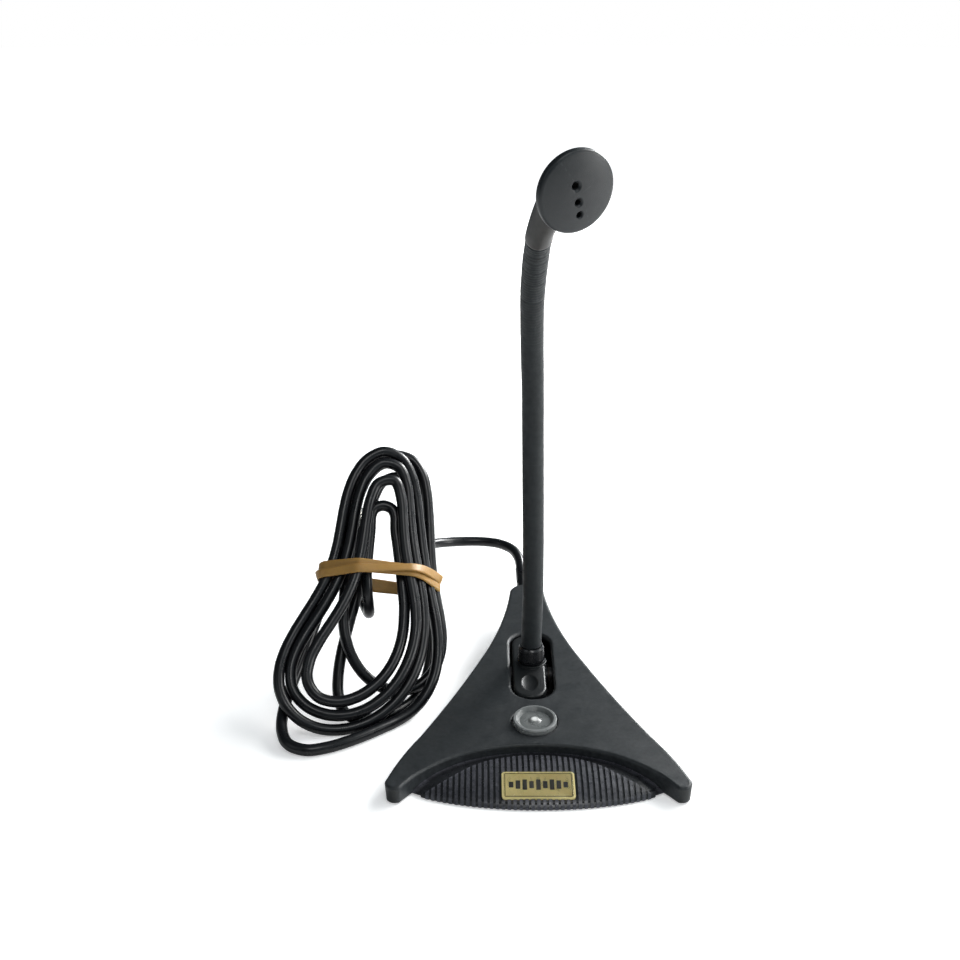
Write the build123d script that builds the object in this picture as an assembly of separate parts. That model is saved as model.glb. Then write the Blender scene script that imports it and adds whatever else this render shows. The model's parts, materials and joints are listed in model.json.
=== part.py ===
from build123d import *
import os
from math import sin, cos, radians, hypot

# Desktop gooseneck microphone with a three-lobed weighted base, a lighted
# push button, a rocking neck foot, a flexible neck, a round capsule head and
# a coiled lead with a 3.5 mm plug.
# Frame: +Z up, table top at z = 0, +Y towards the back of the base, +X right.
# The base outline is symmetric about x = 0.  Origin: on the table, in the middle
# of the footprint.  All sizes in millimetres.

# ---------------------------------------------------- shared dimensions ----
# Base
top_z0, top_slope = 13.83, 0.109       # top face: z = top_z0 + top_slope * y
shell_bottom = 0.8                     # bottom rim of the shell above the table
wall = 2.0
side_draft, draft_z = 0.0875, 12.0     # walls lean outwards going up; outline is true at draft_z
edge_break = 0.6                       # bevel round the top face
plate_z0, plate_z1 = 1.2, 3.0          # closing plate
case_screw_xy = [(43.3, -50.2), (-43.3, -50.2), (0.0, 47.0)]
case_screw_r = 1.1

# Button and circuit board, heights measured from the top face at the button
button_y = -26.0
button_r, button_hole_r = 8.0, 8.35
cap_underside = -0.8
board_top, board_thick = -5.6, 1.0
board_screw_x, board_screw_r = 13.0, 0.9

# Neck
slot_y0, slot_y1, slot_w = -12.1, 33.0, 16.3
foot_y, pivot_z = 13.2, 8.4            # neck foot and rocking axis
pin_r = 1.5
neck_socket_z = 12.6                   # floor of the neck socket in the rocker
collar_r, collar_z1 = 5.2, 21.6
neck_r, link_r, ball_r = 3.75, 2.9, 2.2
neck_straight_top = 105.0              # height where the bend starts
neck_bend_r, neck_bend_deg = 103.0, 51.5
neck_side_lean = 0.0175                # small lean to the left
joint_count = 7

# Head
head_center = Vector(8.1, -42.2, 202.7)
head_normal = Vector(0.47, -0.86, -0.21).normalized()   # way the sound holes face
head_r, head_rim_depth = 13.2, 2.0

# Lead
cable_r = 1.95
coil_r = 1.8                           # thinner in the coils, so the loops stay clear
exit_center = Vector(0.0, 69.0, 10.5)
exit_dir = Vector(-0.06, 0.95, 0.30).normalized()

# ------------------------------------------------------------- helpers ----
os.makedirs("parts", exist_ok=True)


def export_part(name, *shapes):
    """Check the solids of one piece and write them to its STEP file."""
    solids = [s for shape in shapes for s in shape.solids()]
    assert solids, name
    for s in solids:
        assert s.is_valid and s.volume > 0, name
    part = solids[0] if len(solids) == 1 else Compound(children=solids)
    part.label = name
    export_step(part, "parts/%s.step" % name)


def main_solid(shape):
    """Largest solid of a boolean result."""
    return max(shape.solids(), key=lambda s: s.volume)


def turned(profile):
    """Body turned about Z from a polygon of (radius, z)."""
    return revolve(Face(Wire.make_polygon([(x, 0, z) for x, z in profile])), axis=Axis.Z)


def ring(outer_r, inner_r, height):
    return Cylinder(outer_r, height) - Cylinder(inner_r, height)


def square_to(guess, axis):
    """Unit vector nearest to guess at right angles to axis."""
    return (guess - axis * guess.dot(axis)).normalized()


def circle_wire(plane, radius):
    return (plane * Circle(radius)).face().outer_wire()


def stadium(width, y0, y1, z0, z1):
    """Round-ended upright block, long in y."""
    radius, z_mid, height = width / 2.0, (z0 + z1) / 2.0, z1 - z0
    middle = Pos(0, (y0 + y1) / 2.0, z_mid) * Box(width, (y1 - y0) - width, height)
    front = Pos(0, y0 + radius, z_mid) * Cylinder(radius, height)
    back = Pos(0, y1 - radius, z_mid) * Cylinder(radius, height)
    return middle + front + back


def stadium_wire(width, y0, y1, z):
    x, front, back = width / 2.0, y0 + width / 2.0, y1 - width / 2.0
    return Wire([ThreePointArc((x, front, z), (0, y0, z), (-x, front, z)),
                 Line((-x, front, z), (-x, back, z)),
                 ThreePointArc((-x, back, z), (0, y1, z), (x, back, z)),
                 Line((x, back, z), (x, front, z))])


def pan_screw(head_radius, head_h, radius, length):
    """Cross-slot pan head screw, head on the +Z side, under-head face at z = 0."""
    screw = (Pos(0, 0, head_h / 2) * Cylinder(head_radius, head_h)
             + Pos(0, 0, -length / 2) * Cylinder(radius, length))
    screw = (screw - Pos(0, 0, head_h) * Box(head_radius * 1.2, 0.35, 0.8)
             - Pos(0, 0, head_h) * Box(0.35, head_radius * 1.2, 0.8))
    return main_solid(screw)


# -------------------------------------------------------- base outline ----
# Right half, back to front, (x, y); every second point is the middle of an arc
half_outline = [
    (0.0, 69.8), (4.6, 68.3), (6.6, 63.5), (10.8, 40.4), (19.4, 14.5), (29.6, -9.4),
    (41.3, -33.7), (47.4, -45.2), (52.3, -57.6), (50.9, -62.8), (46.9, -63.0),
    (44.9, -60.2), (42.3, -56.7), (35.0, -50.3), (26.6, -45.1), (13.6, -40.9), (0.0, -39.6)]
full_outline = half_outline + [(-x, y) for x, y in reversed(half_outline[1:-1])]


def top_z(y):
    return top_z0 + top_slope * y


def outline_wire(grow, height_at):
    """Base outline moved outwards by grow plus the draft; height_at(y) gives z."""
    count = len(full_outline)
    points = []
    for i, (x, y) in enumerate(full_outline):
        before, after = full_outline[i - 1], full_outline[(i + 1) % count]
        len_in = hypot(x - before[0], y - before[1])
        len_out = hypot(after[0] - x, after[1] - y)
        # tangent of the circle through the three neighbouring points
        tan_x = (x - before[0]) / len_in * len_out + (after[0] - x) / len_out * len_in
        tan_y = (y - before[1]) / len_in * len_out + (after[1] - y) / len_out * len_in
        tan_len = hypot(tan_x, tan_y)
        shift = grow + (height_at(y) - draft_z) * side_draft
        new_y = y + tan_x / tan_len * shift
        points.append((x - tan_y / tan_len * shift, new_y, height_at(new_y)))
    return Wire([ThreePointArc(points[i], points[i + 1], points[(i + 2) % count])
                 for i in range(0, count, 2)])


def base_block(grow, z0, z1):
    """Body of the base grown sideways, with the draft of the walls."""
    return Solid.make_loft([outline_wire(grow, lambda y: z0),
                            outline_wire(grow, lambda y: z1)], ruled=True)


top_plane = Plane(origin=(0, 0, top_z0), x_dir=(1, 0, 0),
                  z_dir=Vector(0, -top_slope, 1).normalized())


def above_top(offset):
    """Everything above the top face moved along its normal."""
    return top_plane.offset(offset).location * Pos(0, 0, 60) * Box(400, 400, 120)


def on_top(y):
    """Frame on the top face at y, z along the face normal."""
    return Plane(origin=(0, y, top_z(y)), x_dir=(1, 0, 0), z_dir=top_plane.z_dir).location


button_frame = on_top(button_y)
exit_frame = Plane(origin=exit_center, z_dir=exit_dir,
                   x_dir=exit_dir.cross(Vector(0, 0, 1))).location

# ----------------------------------------------------------- top shell ----
bevel_drop, bevel_rise = 6.0, 0.4      # reach of the bevel cone below and above the top face
body = main_solid(base_block(0.0, shell_bottom, 25.0) - above_top(0.0))
bevel = Solid.make_loft([
    outline_wire(bevel_drop - edge_break, lambda y: top_z(y) - bevel_drop),
    outline_wire(-edge_break - bevel_rise, lambda y: top_z(y) + bevel_rise)], ruled=True)
body = main_solid(body - (above_top(-4.0) - bevel))
shell = main_solid(body - (base_block(-wall, -1.0, 25.0) - above_top(-wall)))

# neck slot with a flared mouth
slot_half = (slot_y1 - slot_y0) / 2
slot_frame = on_top((slot_y0 + slot_y1) / 2.0)
shell = shell - slot_frame * stadium(slot_w, -slot_half, slot_half, -8, 6)
slot_flare = 1.2
slot_mouth = Solid.make_loft([
    stadium_wire(slot_w, -slot_half, slot_half, -0.7),
    stadium_wire(slot_w + 2 * slot_flare, -slot_half - slot_flare, slot_half + slot_flare, 0.5),
], ruled=True)
shell = shell - slot_frame * slot_mouth

# button hole with a small chamfer
shell = shell - button_frame * Cylinder(button_hole_r, 12)
shell = main_solid(shell - button_frame * Pos(0, 0, 0.05)
                   * Cone(button_hole_r, button_hole_r + 0.5, 0.5))

# bosses for the case screws and for the circuit board, then their screw holes
case_boss_r, case_boss_h = 2.6, 30
board_boss_r, board_boss_top = 2.2, -1.5
for x, y in case_screw_xy:
    boss = Pos(x, y, plate_z1 + case_boss_h / 2) * Cylinder(case_boss_r, case_boss_h)
    shell = shell + (boss - above_top(-1.0))
for x in (-board_screw_x, board_screw_x):
    shell = shell + (button_frame * Pos(x, 0, (board_top + board_boss_top) / 2)
                     * Cylinder(board_boss_r, board_boss_top - board_top))
shell = main_solid(shell)
for x, y in case_screw_xy:
    shell = shell - Pos(x, y, plate_z1) * Cylinder(case_screw_r, 6.0)
for x in (-board_screw_x, board_screw_x):
    shell = shell - button_frame * Pos(x, 0, board_top) * Cylinder(board_screw_r, 5.0)

# cable exit, with a wider groove for the flange of the strain relief
shell = main_solid(shell - exit_frame * Cylinder(2.6, 14))
shell = main_solid(shell - exit_frame * Pos(0, 0, -4.3) * Cylinder(3.1, 1.8))
export_part("top_shell", shell)

# -------------------------------------------- base plate, feet, ballast ----
feet_xy = [(37.0, -42.5), (-37.0, -42.5), (0.0, 57.5), (0.0, 0.0)]
rubber_r, foot_recess = 4.2, 0.6
counterbore = 0.9                      # depth of the case screw heads in the plate
plate = base_block(-wall - 0.15, plate_z0, plate_z1)
for x, y in case_screw_xy:
    plate = (plate - Pos(x, y, 2) * Cylinder(1.35, 8)
             - Pos(x, y, plate_z0) * Cylinder(2.45, 2 * counterbore))
for x, y in feet_xy:
    plate = plate - Pos(x, y, plate_z0) * Cylinder(rubber_r + 0.05, 2 * foot_recess)
export_part("base_plate", main_solid(plate))

rubber_h = plate_z0 + foot_recess
export_part("rubber_feet", *[Pos(x, y, rubber_h / 2) * Cylinder(rubber_r, rubber_h)
                             for x, y in feet_xy])

case_screw = pan_screw(head_radius=2.3, head_h=0.85, radius=case_screw_r, length=3.8)
export_part("case_screws", *[Pos(x, y, plate_z0 + counterbore) * Rot(180, 0, 0) * case_screw
                             for x, y in case_screw_xy])

# right-hand ballast plate, (x, y); the left one is its mirror
ballast_outline = [(17, -12), (24, -12), (41.5, -44.5), (36, -44.5), (29, -40.5), (17, -36)]
ballast_h = 2.6
export_part("ballast_plates", *[
    extrude(Face(Wire.make_polygon([(side * x, y, plate_z1) for x, y in ballast_outline])),
            ballast_h, dir=(0, 0, 1)) for side in (1, -1)])

# -------------------------------------------------- ribbed front apron ----
apron_y = -44.0
apron_half = (53.9, 22.4, 6.3)         # half sizes of the swelling apron
rib_pitch, rib_w, rib_h = 2.0, 1.15, 0.75
rib_count, first_rib_x = 39, -38.0


def apron_dome(grow, rise):
    half_x, half_y, half_z = apron_half
    return Pos(0, apron_y, 0) * scale(Sphere(1.0),
                                      by=(half_x + grow, half_y + grow, half_z + rise))


front_zone = Pos(0, -60, 10 + shell_bottom) * Box(96, 42, 20)
grille = apron_dome(-0.7, 0.0) & front_zone
grille = main_solid(grille - base_block(0.03, -1.0, 26.0))
hollow = apron_dome(-2.9, -2.0) & (Pos(0, -62, 10) * Box(74, 30, 22))
grille = main_solid(grille - hollow)

# back ends of the ribs, right half from the middle outwards, (x, y)
rib_edge = [(0, -42.3), (12, -43.7), (21.8, -47.5), (29, -52.4), (34.4, -55.9),
            (37.8, -57.7), (41.0, -59.4)]
edge_x, edge_y = rib_edge[-1]
rib_front_y = -75
edge_line = Spline([(x, y, 0) for x, y in
                    [(-x, y) for x, y in reversed(rib_edge[1:])] + rib_edge])
rib_region = Face(Wire([
    edge_line,
    Line((edge_x, edge_y, 0), (edge_x, rib_front_y, 0)),
    Line((edge_x, rib_front_y, 0), (-edge_x, rib_front_y, 0)),
    Line((-edge_x, rib_front_y, 0), (-edge_x, edge_y, 0))]))
rib_region = Pos(0, 0, shell_bottom - 0.3) * extrude(rib_region, 20, dir=(0, 0, 1))
rib_zone = apron_dome(0.0, rib_h) & rib_region
ribs = []
for i in range(rib_count):
    slab = Pos(first_rib_x + i * rib_pitch, -60, 10) * Box(rib_w, 50, 30)
    ribs += list((rib_zone & slab).solids())
grille = main_solid(grille.fuse(*ribs))

# badge pocket; badge heights are along the tilted badge normal
badge_w, badge_h = 25.0, 11.2
badge_tilt = radians(18.1)
badge_z0, badge_z1, lens_z1 = -0.2, 0.75, 1.35
badge_frame = Plane(origin=(0.0, -58.3, 4.75), x_dir=(1, 0, 0),
                    z_dir=(0, -sin(badge_tilt), cos(badge_tilt))).location
pocket = badge_frame * Pos(0, 0, 5.0 + badge_z0) * Box(badge_w + 0.1, badge_h + 0.1, 10)
export_part("front_grille", main_solid(grille - pocket))


def rounded_plate(width, height, corner_r, z0, z1):
    return extrude(Pos(0, 0, z0) * RectangleRounded(width, height, corner_r),
                   z1 - z0, dir=(0, 0, 1))


export_part("badge_plate", badge_frame * rounded_plate(badge_w, badge_h, 1.2, badge_z0, badge_z1))
lens = rounded_plate(badge_w - 1.0, badge_h - 1.0, 0.9, badge_z1, lens_z1)
lens = main_solid(fillet([e for e in lens.edges() if e.center().Z > lens_z1 - 0.05], 0.45))
export_part("badge_lens", badge_frame * lens)

# ---------------------------------------------------- button and board ----
switch_x = 5.0


def on_board(x, y, width, depth, height):
    """Block standing on the circuit board."""
    return Pos(x, y, board_top + height / 2) * Box(width, depth, height)


cap_profile = [                        # (radius, z)
    (0, 1.15), (1.3, 1.15), (1.9, 0.75), (2.4, 0.45), (5.6, 0.45), (6.5, 1.25), (6.9, 1.6),
    (7.6, 1.6), (button_r, 1.2), (button_r, -2.1), (9.3, -2.1), (9.3, -3.0), (6.9, -3.0),
    (6.9, cap_underside), (0, cap_underside)]
export_part("button_cap", button_frame * turned(cap_profile))

plunger_h = 3.2
export_part("switch_plunger", button_frame * Pos(switch_x, 0, cap_underside - plunger_h / 2)
            * Cylinder(0.8, plunger_h))
switch = on_board(switch_x, 0, 2.8, 4.0, 2.2) - Pos(switch_x, 0, -4.3) * Cylinder(0.85, 2.2)
export_part("switch_body", button_frame * switch)

led = Pos(0, 0, -4.8) * Cylinder(1.5, 1.4) + Pos(0, 0, -4.1) * Sphere(1.45)
led = led + Pos(0, 0, -5.35) * Cylinder(1.8, 0.4)
export_part("status_led", button_frame * main_solid(led))

board_mid = board_top - board_thick / 2
board = Pos(0, 0, board_mid) * Box(31, 17, board_thick)
for x in (-board_screw_x, board_screw_x):
    board = board - Pos(x, 0, board_mid) * Cylinder(1.1, 2)
export_part("circuit_board", button_frame * main_solid(board))
board_screw = pan_screw(head_radius=1.9, head_h=0.7, radius=board_screw_r, length=3.2)
export_part("board_screws", *[
    button_frame * Pos(x, 0, board_top - board_thick) * Rot(180, 0, 0) * board_screw
    for x in (-board_screw_x, board_screw_x)])

export_part("wire_header", button_frame * on_board(7.0, 6.3, 6.0, 3.6, 1.1))
chips = [(-6.0, 5.6, 3.0, 1.6), (-6.0, -5.6, 3.0, 1.6), (-2.0, 6.4, 1.6, 0.9)]  # x, y, w, d
export_part("board_chips", *[button_frame * on_board(*chip, 0.8) for chip in chips])

spring_r, spring_wire_r, spring_turns = 3.1, 0.22, 4
spring_z0 = board_top + spring_wire_r + 0.05
spring_h = cap_underside - spring_wire_r - 0.05 - spring_z0
helix = Helix(pitch=spring_h / spring_turns, height=spring_h, radius=spring_r)
spring = sweep(Plane(origin=helix @ 0, z_dir=helix % 0) * Circle(spring_wire_r), path=helix)
export_part("button_spring", button_frame * Pos(0, 0, spring_z0) * spring)

# ------------------------------------------------ pivot under the slot ----
cheek_x0, cheek_x1 = 7.0, 8.4          # inner and outer faces of the bracket cheeks
cheek_mid, cheek_t = (cheek_x0 + cheek_x1) / 2, cheek_x1 - cheek_x0
bracket_t, bracket_screw_x = 1.2, 11.4
pin_len, pin_head_t, clip_x = 19.0, 0.8, 9.0
washer_t = 0.25


def on_pivot(x):
    """Frame on the rocking axis at x, its z along +X."""
    return Pos(x, foot_y, pivot_z) * Rot(0, 90, 0)


bracket = (Pos(0, foot_y, plate_z1 + bracket_t / 2)
           * Box(2 * cheek_x1 + 12, 10, bracket_t))
for side in (-1, 1):
    cheek = (Pos(side * cheek_mid, foot_y, (plate_z1 + pivot_z) / 2)
             * Box(cheek_t, 8.4, pivot_z - plate_z1))
    cheek = cheek + on_pivot(side * cheek_mid) * Cylinder(3.4, cheek_t)
    bracket = bracket + cheek
bracket = bracket - on_pivot(0) * Cylinder(pin_r, 40)
for side in (-1, 1):
    bracket = bracket - Pos(side * bracket_screw_x, foot_y, 4) * Cylinder(1.2, 6)
export_part("pivot_bracket", main_solid(bracket))

pin = on_pivot(0) * Cylinder(pin_r, pin_len)
pin = pin + on_pivot(-(pin_len + pin_head_t) / 2) * Cylinder(2.4, pin_head_t)
pin = pin - on_pivot(clip_x) * ring(pin_r + 0.1, pin_r - 0.35, 0.55)
export_part("pivot_pin", main_solid(pin))

clip = on_pivot(clip_x) * ring(2.6, pin_r - 0.33, 0.45)
clip = clip - Pos(clip_x, foot_y, pivot_z - 2.0) * Box(0.6, 1.6, 3.4)
export_part("pivot_clip", main_solid(clip))

bracket_screw = pan_screw(head_radius=2.1, head_h=0.9, radius=1.0, length=bracket_t)
export_part("bracket_screws", *[
    Pos(side * bracket_screw_x, foot_y, plate_z1 + bracket_t) * bracket_screw
    for side in (-1, 1)])
export_part("friction_washers", *[
    on_pivot(side * (cheek_x0 - washer_t / 2)) * ring(3.1, pin_r + 0.05, washer_t)
    for side in (-1, 1)])

# ----------------------------------------- rocking foot and neck collar ----
tongue_y0, tongue_y1, tongue_w = -10.3, 31.2, 12.6
tongue_x = -1.0                        # the tongue sits a little to the left in its slot
tongue_top, tongue_t = -0.3, 3.0       # measured along the normal of the top face
web_z1 = 13.0
seat_z1, seat_h = 15.1, 3.0

tongue = Pos(tongue_x, 0, 0) * stadium(tongue_w, tongue_y0, tongue_y1, 0, 40) & (
    top_plane.offset(tongue_top - tongue_t / 2).location * Box(200, 200, tongue_t))
tongue = main_solid(tongue)
tongue_origin = top_plane.offset(tongue_top).origin
top_edges = [e for e in tongue.edges()
             if abs((e.center() - tongue_origin).dot(top_plane.z_dir)) < 0.05]
# guards the rounding of the tilted top rim: the edge stays sharp if the kernel refuses it
try:
    tongue = main_solid(fillet(top_edges, 0.9))
except Exception as error:
    print("tongue edge left sharp:", error)
dish = on_top(-1.5) * Pos(tongue_x, 0, 0.45) * scale(Sphere(1.0), by=(3.6, 6.0, 1.5))
tongue = tongue - dish
hub = on_pivot(0) * Cylinder(3.3, 13.5)
web = Pos(0, foot_y, (pivot_z + web_z1) / 2) * Box(11.0, 6.6, web_z1 - pivot_z)
seat = Pos(0, foot_y, seat_z1 - seat_h / 2) * Cylinder(5.9, seat_h)
rocker = tongue + hub + web + seat
rocker = rocker - on_pivot(0) * Cylinder(pin_r + 0.05, 30)
rocker = rocker - Pos(0, foot_y, neck_socket_z + 5.0) * Cylinder(link_r, 10.0)
export_part("neck_rocker", main_solid(rocker))

collar_z0 = seat_z1 + 0.45
collar_profile = [                     # (radius, z)
    (link_r, collar_z0), (collar_r, collar_z0), (collar_r + 0.1, collar_z0 + 1.0),
    (collar_r - 0.3, collar_z1 - 0.6), (collar_r - 0.8, collar_z1), (link_r, collar_z1)]
export_part("neck_collar", Pos(0, foot_y, 0) * turned(collar_profile))

# ------------------------------------------------------- flexible neck ----
neck_base = Vector(0.0, foot_y, collar_z1)
neck_up = Vector(-neck_side_lean, 0.0, 1.0).normalized()
forward = Vector(0.0, -1.0, 0.0)
straight_len = neck_straight_top - collar_z1
neck_len = straight_len + neck_bend_r * radians(neck_bend_deg)


def neck_at(s):
    """Point and direction on the neck centreline at arc length s."""
    if s <= straight_len:
        return neck_base + neck_up * s, neck_up
    angle = (s - straight_len) / neck_bend_r
    point = (neck_base + neck_up * (straight_len + neck_bend_r * sin(angle))
             + forward * (neck_bend_r * (1 - cos(angle))))
    return point, (neck_up * cos(angle) + forward * sin(angle)).normalized()


def neck_plane(s):
    point, direction = neck_at(s)
    return Plane(origin=point, z_dir=direction)


def neck_path(s0, s1):
    """Centreline between two arc lengths: a line, an arc, or both."""
    stations = [s0] + ([straight_len] if s0 < straight_len < s1 else []) + [s1]
    edges = []
    for start, end in zip(stations[:-1], stations[1:]):
        first, last = neck_at(start)[0], neck_at(end)[0]
        if end <= straight_len:
            edges.append(Line(first, last))
        else:
            edges.append(ThreePointArc(first, neck_at((start + end) / 2)[0], last))
    return Wire(edges)


def neck_tube(s0, s1, outer_r, inner_r=0.0):
    path, plane = neck_path(s0, s1), neck_plane(s0)
    tube = sweep(plane * Circle(outer_r), path=path)
    if inner_r > 0:
        tube = tube - sweep(plane * Circle(inner_r), path=path)
    return main_solid(tube)


joint_pitch = neck_len / joint_count
joints = [joint_pitch * (i + 0.5) for i in range(joint_count)]
socket_rim, next_link = 0.9, 2.6       # link end and start of the next one, past each joint
link_starts = [0.0] + [s + next_link for s in joints]
link_ends = [s + socket_rim for s in joints] + [neck_len]
for i, (start, end) in enumerate(zip(link_starts, link_ends)):
    is_first, is_last = i == 0, i == joint_count
    # the first sleeve stops just clear of the collar
    sleeve_start = start + (0.12 if is_first else 0.0)
    export_part("neck_sleeve_%d" % i, neck_tube(sleeve_start, end, neck_r, link_r))
    link = neck_tube(start, end, link_r)
    if is_first:
        # stem through the collar into the rocker
        link = link + (Pos(0, foot_y, (collar_z1 + neck_socket_z) / 2)
                       * Cylinder(link_r, collar_z1 - neck_socket_z))
    if is_last:
        # stub into the head
        link = link + neck_plane(end).location * Pos(0, 0, 1.5) * Cylinder(link_r, 3.0)
    else:
        link = link - neck_plane(joints[i]).location * Sphere(ball_r + 0.05)
    if not is_first:
        joint = neck_plane(joints[i - 1]).location
        link = (link + joint * Sphere(ball_r)
                + joint * Pos(0, 0, next_link / 2) * Cylinder(1.1, next_link))
    export_part("neck_link_%d" % i, main_solid(link))

# ---------------------------------------------------------------- head ----
# Frame on the head rim: z out of the sound holes, x along the row of holes
head_down = square_to(Vector(0, 0, -1), head_normal)
head_side = head_normal.cross(head_down)
head_frame = Plane(origin=head_center, x_dir=head_down + head_side * 0.24,
                   z_dir=head_normal).location

crown_z, crown_drop, crown_r = 1.8, 1.5, 12.2   # domed front face
liner_r = 12.0                                  # inside of the rim
cover_profile = Wire([
    Line((0, 0, 0.4), (0, 0, crown_z)),
    ThreePointArc((0, 0, crown_z), (6.4, 0, 1.45), (crown_r, 0, 0.3)),
    ThreePointArc((crown_r, 0, 0.3), (12.95, 0, -0.15), (head_r, 0, -0.9)),
    Line((head_r, 0, -0.9), (head_r, 0, -head_rim_depth)),
    Line((head_r, 0, -head_rim_depth), (liner_r, 0, -head_rim_depth)),
    Line((liner_r, 0, -head_rim_depth), (liner_r, 0, -0.9)),
    Line((liner_r, 0, -0.9), (11.6, 0, -0.9)),
    ThreePointArc((11.6, 0, -0.9), (6.0, 0, 0.08), (0, 0, 0.4))])
cover = revolve(Face(cover_profile), axis=Axis.Z)
# sound holes: (distance from centre, hole radius, countersink radius)
for distance, hole_r, sink_r in [(0.0, 1.05, 1.9), (5.5, 0.85, 1.55), (9.4, 0.7, 1.25)]:
    surface_z = crown_z - crown_drop * (distance / crown_r) ** 2
    cover = cover - Pos(distance, 0, 0) * Cylinder(hole_r, 8)
    cover = cover - Pos(distance, 0, surface_z - 0.25) * Cone(hole_r, sink_r, 0.9)
export_part("head_cover", head_frame * main_solid(cover))

capsule_r = 3.0
export_part("dust_screen", head_frame * Pos(0, 0, -1.1) * Cylinder(4.8, 0.3))
export_part("capsule", head_frame * (Pos(0, 0, -3.8) * Cylinder(capsule_r, 4.6)
                                     - Pos(0, 0, -1.4) * Cylinder(0.9, 0.6)))
export_part("capsule_holder", head_frame * Pos(0, 0, -3.6) * ring(4.4, capsule_r, 4.2))

# Rear housing: round sections along a Bezier curve from the neck end to the rim
neck_end, neck_end_dir = neck_at(neck_len)
rim_center = head_center - head_normal * head_rim_depth
housing_poles = [neck_end, neck_end + neck_end_dir * 8.0,
                 rim_center - head_normal * 7.5, rim_center]
# (curve parameter, radius)
housing_rows = [(0.0, 4.25), (0.22, 4.5), (0.44, 5.3), (0.63, 6.9), (0.8, 9.6), (0.92, 12.2),
                (1.0, head_r)]
housing_steps = 20


def housing_radius(t):
    """Radius of the rear housing, smooth (cubic Hermite) between the rows."""
    last = len(housing_rows) - 1
    i = next(i for i in range(last) if t <= housing_rows[i + 1][0])
    (t0, r0), (t1, r1) = housing_rows[i], housing_rows[i + 1]
    t_before, r_before = housing_rows[max(i - 1, 0)]
    t_after, r_after = housing_rows[min(i + 2, last)]
    slope0 = (r1 - r_before) / (t1 - t_before)
    slope1 = (r_after - r0) / (t_after - t0)
    span = t1 - t0
    u = (t - t0) / span
    return ((2 * u ** 3 - 3 * u * u + 1) * r0 + (u ** 3 - 2 * u * u + u) * span * slope0
            + (-2 * u ** 3 + 3 * u * u) * r1 + (u ** 3 - u * u) * span * slope1)


def housing_plane(t):
    a, b, c, d = housing_poles
    v = 1 - t
    point = a * v ** 3 + b * (3 * v ** 2 * t) + c * (3 * v * t * t) + d * t ** 3
    tangent = (b - a) * (3 * v ** 2) + (c - b) * (6 * v * t) + (d - c) * (3 * t * t)
    tangent = tangent.normalized()
    return Plane(origin=point, x_dir=square_to(Vector(1, 0, 0), tangent), z_dir=tangent)


sections = [circle_wire(housing_plane(k / housing_steps), housing_radius(k / housing_steps))
            for k in range(housing_steps + 1)]
rear = main_solid(Solid.make_loft(sections, ruled=True))
rear = main_solid(rear - neck_plane(neck_len).location * Pos(0, 0, 1.0) * Cylinder(link_r, 4.0))
rear = main_solid(rear - head_frame * Pos(0, 0, -5.0) * Cylinder(5.0, 6.2))
export_part("head_rear", rear)

# ------------------------------------------------------- strain relief ----
relief_len = 26.0
relief_profile = [                     # (radius, z along the exit)
    (cable_r, -4.6), (2.9, -4.6), (2.9, -3.7), (2.55, -3.7), (2.55, 2.4), (3.3, 2.4),
    (3.3, 4.0), (2.95, 4.6), (2.5, relief_len), (cable_r, relief_len)]
relief = turned(relief_profile)
# notch pairs, turned a quarter from one level to the next
notch_offset = 2.9
for k in range(4):
    z = 7.5 + 4.4 * k
    for side in (-1, 1):
        if k % 2:
            notch = Pos(0, side * notch_offset, z) * Box(3.6, 1.5, 1.3)
        else:
            notch = Pos(side * notch_offset, 0, z) * Box(1.5, 3.6, 1.3)
        relief = relief - notch
export_part("strain_relief", exit_frame * main_solid(relief))

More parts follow.
